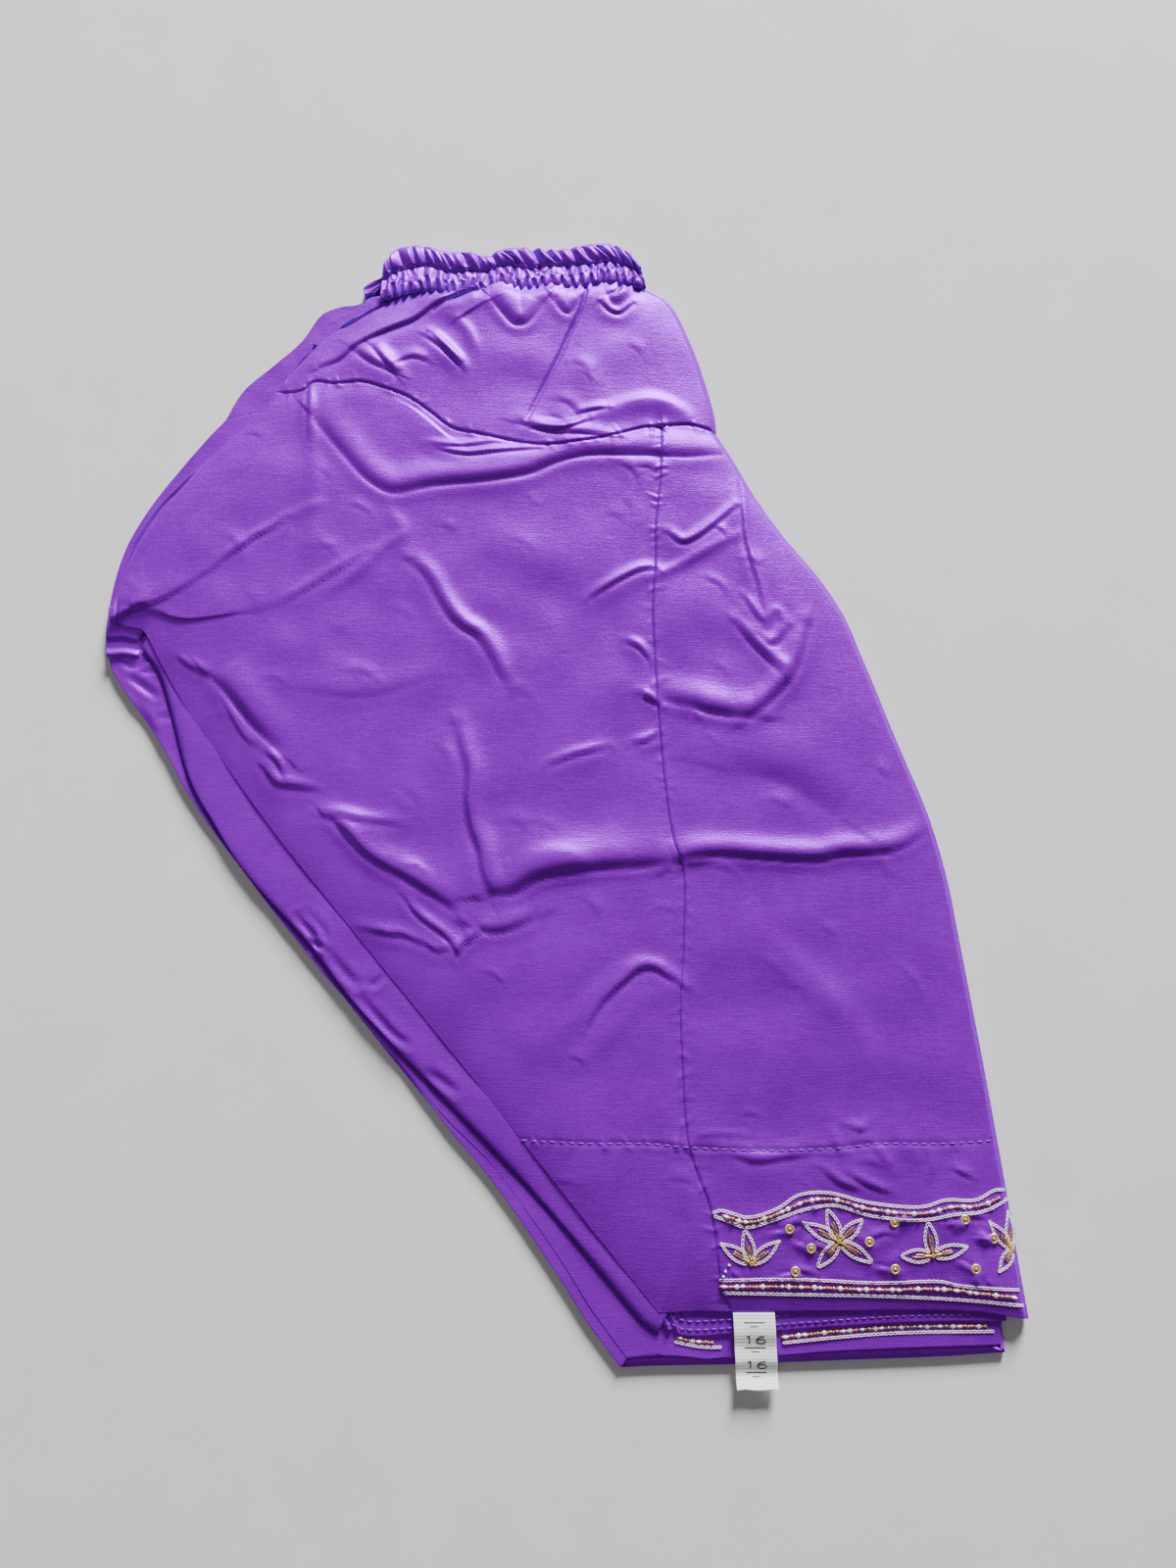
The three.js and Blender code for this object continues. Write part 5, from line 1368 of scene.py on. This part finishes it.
# %% Flowers and sprouts
MOTIFS = [  # centre, half width of the petals, tips
    ((119.5, -194.5), 2.3, [(115, -182), (129, -186), (132.5, -202.5), (110.5, -204.5), (105.5, -187.5)]),
    ((84, -203), 2.3, [(72, -195.5), (81.5, -190), (95, -194.5)]),
    ((157, -200), 2.4, [(144, -200), (155.5, -187), (171, -196.5)]),
    ((190, -198), 2.1, [(181, -187.5), (189.5, -184), (184, -206)]),
]
COIL_STEP, COIL_SWELL = 0.28, 0.16  # mm from coil to coil, and how much each one bulges
COPPER_RADIUS, YELLOW_RADIUS = 0.5, 0.5  # mm
copper, yellow = Thread(), Thread()


def bullion(collector, start, end, radius, surface):
    """Coiled wire: a tube whose thickness swells and shrinks at each turn."""
    count = max(8, int(math.dist(start, end) / COIL_STEP))
    spots = start + (end - start) * np.linspace(0, 1, count)[:, None]
    body = np.sin(np.pi * np.linspace(0.08, 0.92, count)) ** 0.5
    radii = radius * body * (1 + COIL_SWELL * np.where(np.arange(count) % 2, 1, -1))
    z = surface(spots[:, 0], spots[:, 1]) + 0.35 * radius + 0.15
    collector.tube(np.column_stack([spots, z]), radii, sides=7)


for centre_mark, half_width, tips in MOTIFS:
    middle = np.array(centre_mark, float)
    for tip in np.array(tips, float):
        run = tip - middle
        across = np.array([-run[1], run[0]]) / np.linalg.norm(run)
        share = np.linspace(0.1, 1, 16)[:, None]
        swell = half_width * np.sin(np.pi * share ** 0.85) ** 0.9
        left = middle + run * share + across * swell
        right = middle + run * share - across * swell
        chain(pale, left, height_at)
        chain(pale, right[::-1], height_at)
        for offset in (-0.55, 0.55):
            start = middle + run * 0.24 + across * offset * 0.7
            end = middle + run * chance.uniform(0.5, 0.66) + across * offset * 0.8
            bullion(copper, start, end, COPPER_RADIUS, height_at)
        bullion(yellow, middle, middle + run * 0.3, YELLOW_RADIUS, height_at)
    for turn in np.arange(6) * math.pi / 3:
        spot = middle + 0.9 * np.array([math.cos(turn), math.sin(turn)])
        bullion(yellow, middle, spot + 0.01, 0.55, height_at)
print("motifs:", len(MOTIFS), "petals:", sum(len(m[2]) for m in MOTIFS))

# %% [markdown]
# ## Beads in the border and studs
# In the middle of each border lie short pieces of copper bullion and tiny beads, with a bright
# sequin after every few. Scattered studs are gold rings round a domed bead. Balls and rings of
# few faces are enough at this size, as long as they sit in the cloth and not on its highest
# crease.

# %% Beads in the border and studs
bright = Thread()
BEAD_RADIUS, FILL_STEP = 0.55, 2.6
STUD_RING, STUD_WIRE, STUD_DOME = 1.55, 0.5, 1.05  # mm, radii
SEQUIN_RADIUS, FILL_RADIUS = 1.05, 0.72


def fill_row(path, surface):
    """Bullion pieces end to end, some of them pale, with beads and sequins between."""
    places = walk(path, FILL_STEP)[0]
    for k, (a, b) in enumerate(zip(places[:-1], places[1:])):
        start = a + (b - a) * 0.12 + chance.uniform(-0.2, 0.2, 2)
        end = a + (b - a) * 0.8 + chance.uniform(-0.2, 0.2, 2)
        z = float(surface(*a)) + 0.35
        if k % 4 == 2:
            bright.ball((*((a + b) / 2), z), SEQUIN_RADIUS, 0.5)
        else:
            bullion(pale if k % 3 == 0 else copper, start, end, FILL_RADIUS, surface)
        yellow.ball((*a, z), BEAD_RADIUS, 0.8)


for name in ("upper_middle", "lower_middle"):
    fill_row(border[name], height_at)
domes, rings = Thread(), Thread()
for x, y in STUDS:
    z = float(height_at(x, y)) + 0.4
    turns = np.arange(20) * 2 * math.pi / 20
    spokes = np.column_stack([np.cos(turns), np.sin(turns)])
    circle = np.column_stack([(x, y) + STUD_RING * spokes, np.full(20, z + 0.35)])
    rings.tube(circle, STUD_WIRE, sides=7, closed=True)
    domes.ball((x, y, z + 0.3), STUD_DOME, 0.8, rings=7, sides=12)
for x, y in ((73.5, -206), (75, -203.6), (72.6, -208)):
    bright.ball((x, y, float(height_at(x, y)) + 0.3), 0.6, 0.7)
print("studs:", len(STUDS))

# %% [markdown]
# ## Border on the lower hem
# The lower leg has the same border, and two of its lines show below the upper hem. They lie on
# the lower ply, so they read a flat level instead of the field.

# %% Border on the lower hem
LOWER_LINES = {
    "chain_low": [(53, -234), (65, -236), (93.5, -234.6), (117, -232.4), (145, -230.6), (182, -230)],
    "beads": [(54, -232.4), (65, -234.2), (93.5, -232.4), (117, -230.2), (145, -228.4), (182, -228)],
}
LABEL_GAP = (74, 95.5)  # mm, the part of the lines that the label hides


def lower_level(x, y):
    """Height of the lower hem, with a slow wave."""
    return SECOND_PLY + 0.1 * np.sin(np.asarray(x) / 13)


def beside_label(marks):
    """The two parts of a line that the label leaves free."""
    path = smooth(marks)
    return [path[path[:, 0] < LABEL_GAP[0]], path[path[:, 0] > LABEL_GAP[1]]]


for part in beside_label(LOWER_LINES["chain_low"]):
    chain(pale, part, lower_level, 0.3)
for part in beside_label(LOWER_LINES["beads"]):
    fill_row(part, lower_level)
pale_piece = pale.piece("gold_chain_stitch", pale_gold, "gold_thread")
copper_piece = copper.piece("copper_bullion_fill", bullion_copper, "gold_thread")
yellow_piece = yellow.piece("yellow_gold_fill", yellow_gold, "gold_thread")
print("embroidery faces:", [len(p.data.polygons) for p in (pale_piece, copper_piece, yellow_piece)])

# %% [markdown]
# ## Brass, glass and their pieces
# Studs are stamped brass with a gold finish: a metal, so its colour is in the reflection, with
# fine scratches from tumbling. Sequins are clear coated plastic that mirrors the light.

# %% Brass, glass and their pieces
MOTTLE, TUMBLING_MARK = 1.4, 0.33  # mm


def polished_material(name, shade, light, roughness, metallic, coat=0.0):
    """A small polished piece with a mottled tone and fine tumbling marks."""
    material, tree, shader = new_material(name)
    place = object_place(tree)
    mottle = speckles(tree, place, MOTTLE)
    tree.links.new(blend_colours(tree, mottle, shade, light), shader.inputs["Base Color"])
    relief = node(tree, "ShaderNodeBump", {"Height": speckles(tree, place, TUMBLING_MARK), "Strength": 0.15,
                                           "Distance": 0.05 * MM})
    tree.links.new(relief.outputs[0], shader.inputs["Normal"])
    shader.inputs["Roughness"].default_value = roughness
    shader.inputs["Metallic"].default_value = metallic
    shader.inputs["Coat Weight"].default_value = coat
    return material


brass = polished_material("gold_finished_brass", "#EBC468", "#FFF2BE", 0.4, 0.8)
amber_bead = polished_material("amber_glass_bead", "#8E6634", "#CFA45C", 0.2, 0.0, 0.6)
sequin = polished_material("clear_coated_sequin", "#F2E8E0", "#FFFFFF", 0.2, 0.1, 0.8)
ring_piece = rings.piece("stud_rings", brass, "gold_bead")
dome_piece = domes.piece("stud_domes", amber_bead, "gold_bead")
bright_piece = bright.piece("sequins", sequin, "gold_bead")
print("metal faces:", [len(p.data.polygons) for p in (ring_piece, dome_piece, bright_piece)])

# %% [markdown]
# ## Size label
# A size label is a length of woven polyester tape, caught in the hem seam and printed with a
# rotary stamp, so that its print repeats. It hangs from the upper hem over the lower one and its
# cut end curls. It is modelled as a ribbon that follows the drop, and the print is plain marks.

# %% Size label
LABEL_LEFT, LABEL_WIDTH, LABEL_LEAN = 76.6, 16.5, 0.04
HIDDEN_LEVEL = 4.6  # mm, of the stretch that is caught under the hem
LABEL_PROFILE = [(-222.3, 5.9), (-230, 5.8), (-235.5, 4.4), (-241, 4.2), (-246, 2.6), (-251.6, 4.4)]
profile = smooth(LABEL_PROFILE, 12)
LABEL_ROOT, LABEL_END = LABEL_PROFILE[0][0], LABEL_PROFILE[-1][0]


def label_level(x, y):
    """Height of the tape's face, with a slight cup across it."""
    side = (np.asarray(x) - LABEL_LEFT - LABEL_LEAN * (LABEL_ROOT - np.asarray(y))) / LABEL_WIDTH
    cup = 0.5 * (2 * side - 1) ** 2 * np.clip((LABEL_ROOT - np.asarray(y)) / 20, 0, 1)
    return np.interp(-np.asarray(y), -profile[:, 0], profile[:, 1]) + cup


label_y = np.linspace(LABEL_ROOT + 4, LABEL_END, 120)
label_u = np.linspace(0, 1, 50)
label_grid = np.stack(np.broadcast_arrays(
    LABEL_LEFT + LABEL_WIDTH * label_u[None, :] + LABEL_LEAN * (LABEL_ROOT - label_y[:, None]),
    label_y[:, None] + 0.25 * np.sin(label_u * 9)[None, :] * (label_y[:, None] < LABEL_END + 1)), axis=-1)
label_z = label_level(label_grid[..., 0], label_grid[..., 1])
label_z[label_grid[..., 1] > LABEL_ROOT] = HIDDEN_LEVEL
tape, tree, shader = new_material("woven_polyester_tape")
place = object_place(tree)
RIB_STEP = 1.3  # mm, coarser than the real weave, so that it shows
ribs = node(tree, "ShaderNodeTexWave", {"Vector": place, "Scale": BAND * grain(RIB_STEP), "Distortion": 0.6},
            bands_direction="Y")
grime = blend_colours(tree, speckles(tree, place, 4, 3.0), "#F6F8F5", "#FFFFFF")
tree.links.new(grime, shader.inputs["Base Color"])
weave = node(tree, "ShaderNodeBump", {"Height": ribs.outputs["Fac"], "Strength": 0.4, "Distance": 0.1 * MM})
tree.links.new(weave.outputs[0], shader.inputs["Normal"])
shader.inputs["Roughness"].default_value = 0.62
shader.inputs["IOR"].default_value = 1.57
label = cloth("size_label_tape", label_grid, label_z, 0.5, tape, bulge=0.15, under=0.6)
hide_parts("size_label")
print("label end height, mm:", round(float(label_z[-1].mean()), 2))

# %% [markdown]
# ## Print on the label
# The print is thin grey ink. It repeats every 9.8 mm: a plain size number, a ruled line and a
# dash. Letters from a font could be used, but two ruled figures drawn as strokes are enough and
# follow the tape's curve, because every stroke is a narrow ribbon laid on it.

# %% Print on the label
ink, tree, shader = new_material("stamped_grey_ink")
place = object_place(tree)
worn = blend_colours(tree, speckles(tree, place, 0.45), "#26292C", "#5E6366")
tree.links.new(worn, shader.inputs["Base Color"])
shader.inputs["Roughness"].default_value = 0.8
FIRST_PRINT, PRINT_STEP, FIGURE_HEIGHT = -224.4, 9.8, 3.1
FIGURES = {  # strokes in a box one wide and one high
    "1": [[(0.2, 0.8), (0.5, 1.0), (0.5, 0.0)]],
    "6": [[(0.85, 0.95), (0.3, 0.8), (0.05, 0.4), (0.15, 0.08), (0.5, 0.0), (0.9, 0.12), (0.95, 0.4),
           (0.55, 0.58), (0.1, 0.42)]],
}
print_points, print_faces = [], []


def stroke(marks, width=0.42):
    """One stroke of the print, as a narrow ribbon on the tape."""
    path = spaced(smooth(marks, 4) if len(marks) > 3 else np.array(marks, float), np.linspace(0, 1, 14))
    across = left_of(unit(np.gradient(path, axis=0))) * width / 2
    for k, (left, right) in enumerate(zip(path + across, path - across)):
        for x, y in (left, right):
            print_points.append((x, y, float(label_level(x, y)) + 0.05))
        if k:
            n = len(print_points)
            print_faces.append((n - 4, n - 3, n - 1, n - 2))


for repeat in range(3):
    base = FIRST_PRINT - PRINT_STEP * repeat
    middle = LABEL_LEFT + LABEL_WIDTH / 2 + LABEL_LEAN * (LABEL_ROOT - base)
    for left, figure in ((-4.4, "1"), (0.2, "6")) if repeat else ():  # the hem hides the first figures
        for marks in FIGURES[figure]:
            stroke([(middle + left + 4.0 * x, base + FIGURE_HEIGHT * y) for x, y in marks], 0.6)
    stroke([(middle - 4.2, base - 1.6), (middle + 4.2, base - 1.6)], 0.5)
    stroke([(middle - 1.7, base - 3.1), (middle + 1.7, base - 3.1)], 0.35)
label_print = build("label_print", print_points, print_faces, ink)
print("print strokes faces:", len(print_faces))

# %% [markdown]
# ## How each piece was cut
# Cloth is sold and cut flat, so each piece is listed with its cut size before it was folded, and
# its modelled area is printed as a share of the cut. The sizes are those of what shows of each
# panel, and where a cut is a wedge its area is smaller than its length times its width. The
# waistband was about half as long again before it was gathered.

# %% How each piece was cut
def cloth_area(piece):
    """Area of a piece in square metres."""
    return sum(face.area for face in piece.data.polygons)


CUTS = [  # piece, width, length, area or None, what it rests on, pieces on it
    (top_gore, 0.245, 0.400, 0.0560, ["inner_ply_high"], [facing_stitches]),
    (top_centre, 0.145, 0.385, 0.0370, ["inner_ply_high"],
     [pale_piece, copper_piece, yellow_piece, ring_piece, dome_piece, bright_piece]),
    (top_yoke, 0.205, 0.080, 0.0130, ["inner_ply_high"], []),
    (waistband, 0.175, 0.026, None, ["waistband_plies"], [band_stitches]),
    (band_plies, 0.175, 0.034, None, [], []),
    (lower_yoke, 0.085, 0.030, 0.0024, ["lower_back"], []),
    (lower_gore, 0.055, 0.450, 0.0100, ["lower_back"], []),
    (back_strip, 0.010, 0.160, None, ["lower_back"], []),
    (lower_hem, 0.140, 0.026, None, ["lower_back"], []),
    (inseam_roll, 0.020, 0.380, None, ["lower_gore"], []),
    (hem_facing, 0.136, 0.016, None, ["lower_centre_panel"], [inner_stitches]),
    (yoke_turn, 0.045, 0.014, None, ["lower_yoke"], []),
    (lips[0], 0.020, 0.018, None, ["lower_gore"], []),
    (lips[1], 0.016, 0.0105, None, ["lower_gore"], []),
    (underside, 0.380, 0.470, 0.1150, [], []),
    (second_ply, 0.300, 0.440, 0.0850, ["lower_back"], []),
    (third_ply, 0.300, 0.440, 0.0850, ["inner_ply_low"], []),
    (label, 0.0175, 0.034, None, ["lower_centre_panel"], [label_print]),
]
for piece, width, length, area, rests_on, with_pieces in CUTS:
    measured = cloth_area(piece)
    print(piece.name, "cloth", round(measured, 5), "share", round(measured / (area or width * length), 2))

# %% [markdown]
# ## Floor and light
# The garment lies on a plain pale board in a studio. One large soft light stands beyond the
# waist and a little to the right, low enough for the satin's folds to turn bright on the side
# that faces it and dark on the other. A weak fill keeps the shadows open.

# %% Floor and light
FLOOR_SIZE, FLOOR_GAP = 6.0, 0.3 * MM  # the gap keeps its face clear of the cloth
ROOM_STRENGTH = 0.11
half = FLOOR_SIZE / 2
floor_mesh = bpy.data.meshes.new("pale_board")
floor_corners = [(-half, -half, 0), (half, -half, 0), (half, half, 0), (-half, half, 0)]
floor_mesh.from_pydata(floor_corners, [], [(0, 1, 2, 3)])
floor = bpy.data.objects.new("pale_board", floor_mesh)
floor.location.z = -FLOOR_GAP
board, tree, shader = new_material("matt_painted_board")
place = object_place(tree)
paint = blend_colours(tree, speckles(tree, place, 33, 4.0), "#D9D8D6", "#E1E0DE")
tree.links.new(paint, shader.inputs["Base Color"])
shader.inputs["Roughness"].default_value = 0.85
floor_mesh.materials.append(board)
bpy.context.scene.collection.objects.link(floor)


def softbox(name, place, size, power, target=(0, 0, 0)):
    """A square studio light that looks at the garment."""
    data = bpy.data.lights.new(name, "AREA")
    data.size = size
    data.energy = power
    light = bpy.data.objects.new(name, data)
    light.location = place
    light.rotation_euler = (Vector(target) - Vector(place)).to_track_quat("-Z", "Y").to_euler()
    bpy.context.scene.collection.objects.link(light)
    return light


softbox("key_light", (1.33, 5.0, 2.1), 1.7, 1080)
softbox("fill_light", (-0.9, -0.2, 1.6), 1.2, 4)
world = bpy.data.worlds.new("studio_room")
world.use_nodes = True
world.node_tree.nodes["Background"].inputs["Color"].default_value = (1.0, 0.96, 0.98, 1)
world.node_tree.nodes["Background"].inputs["Strength"].default_value = ROOM_STRENGTH
bpy.context.scene.world = world
print("lights: 2 and the room")
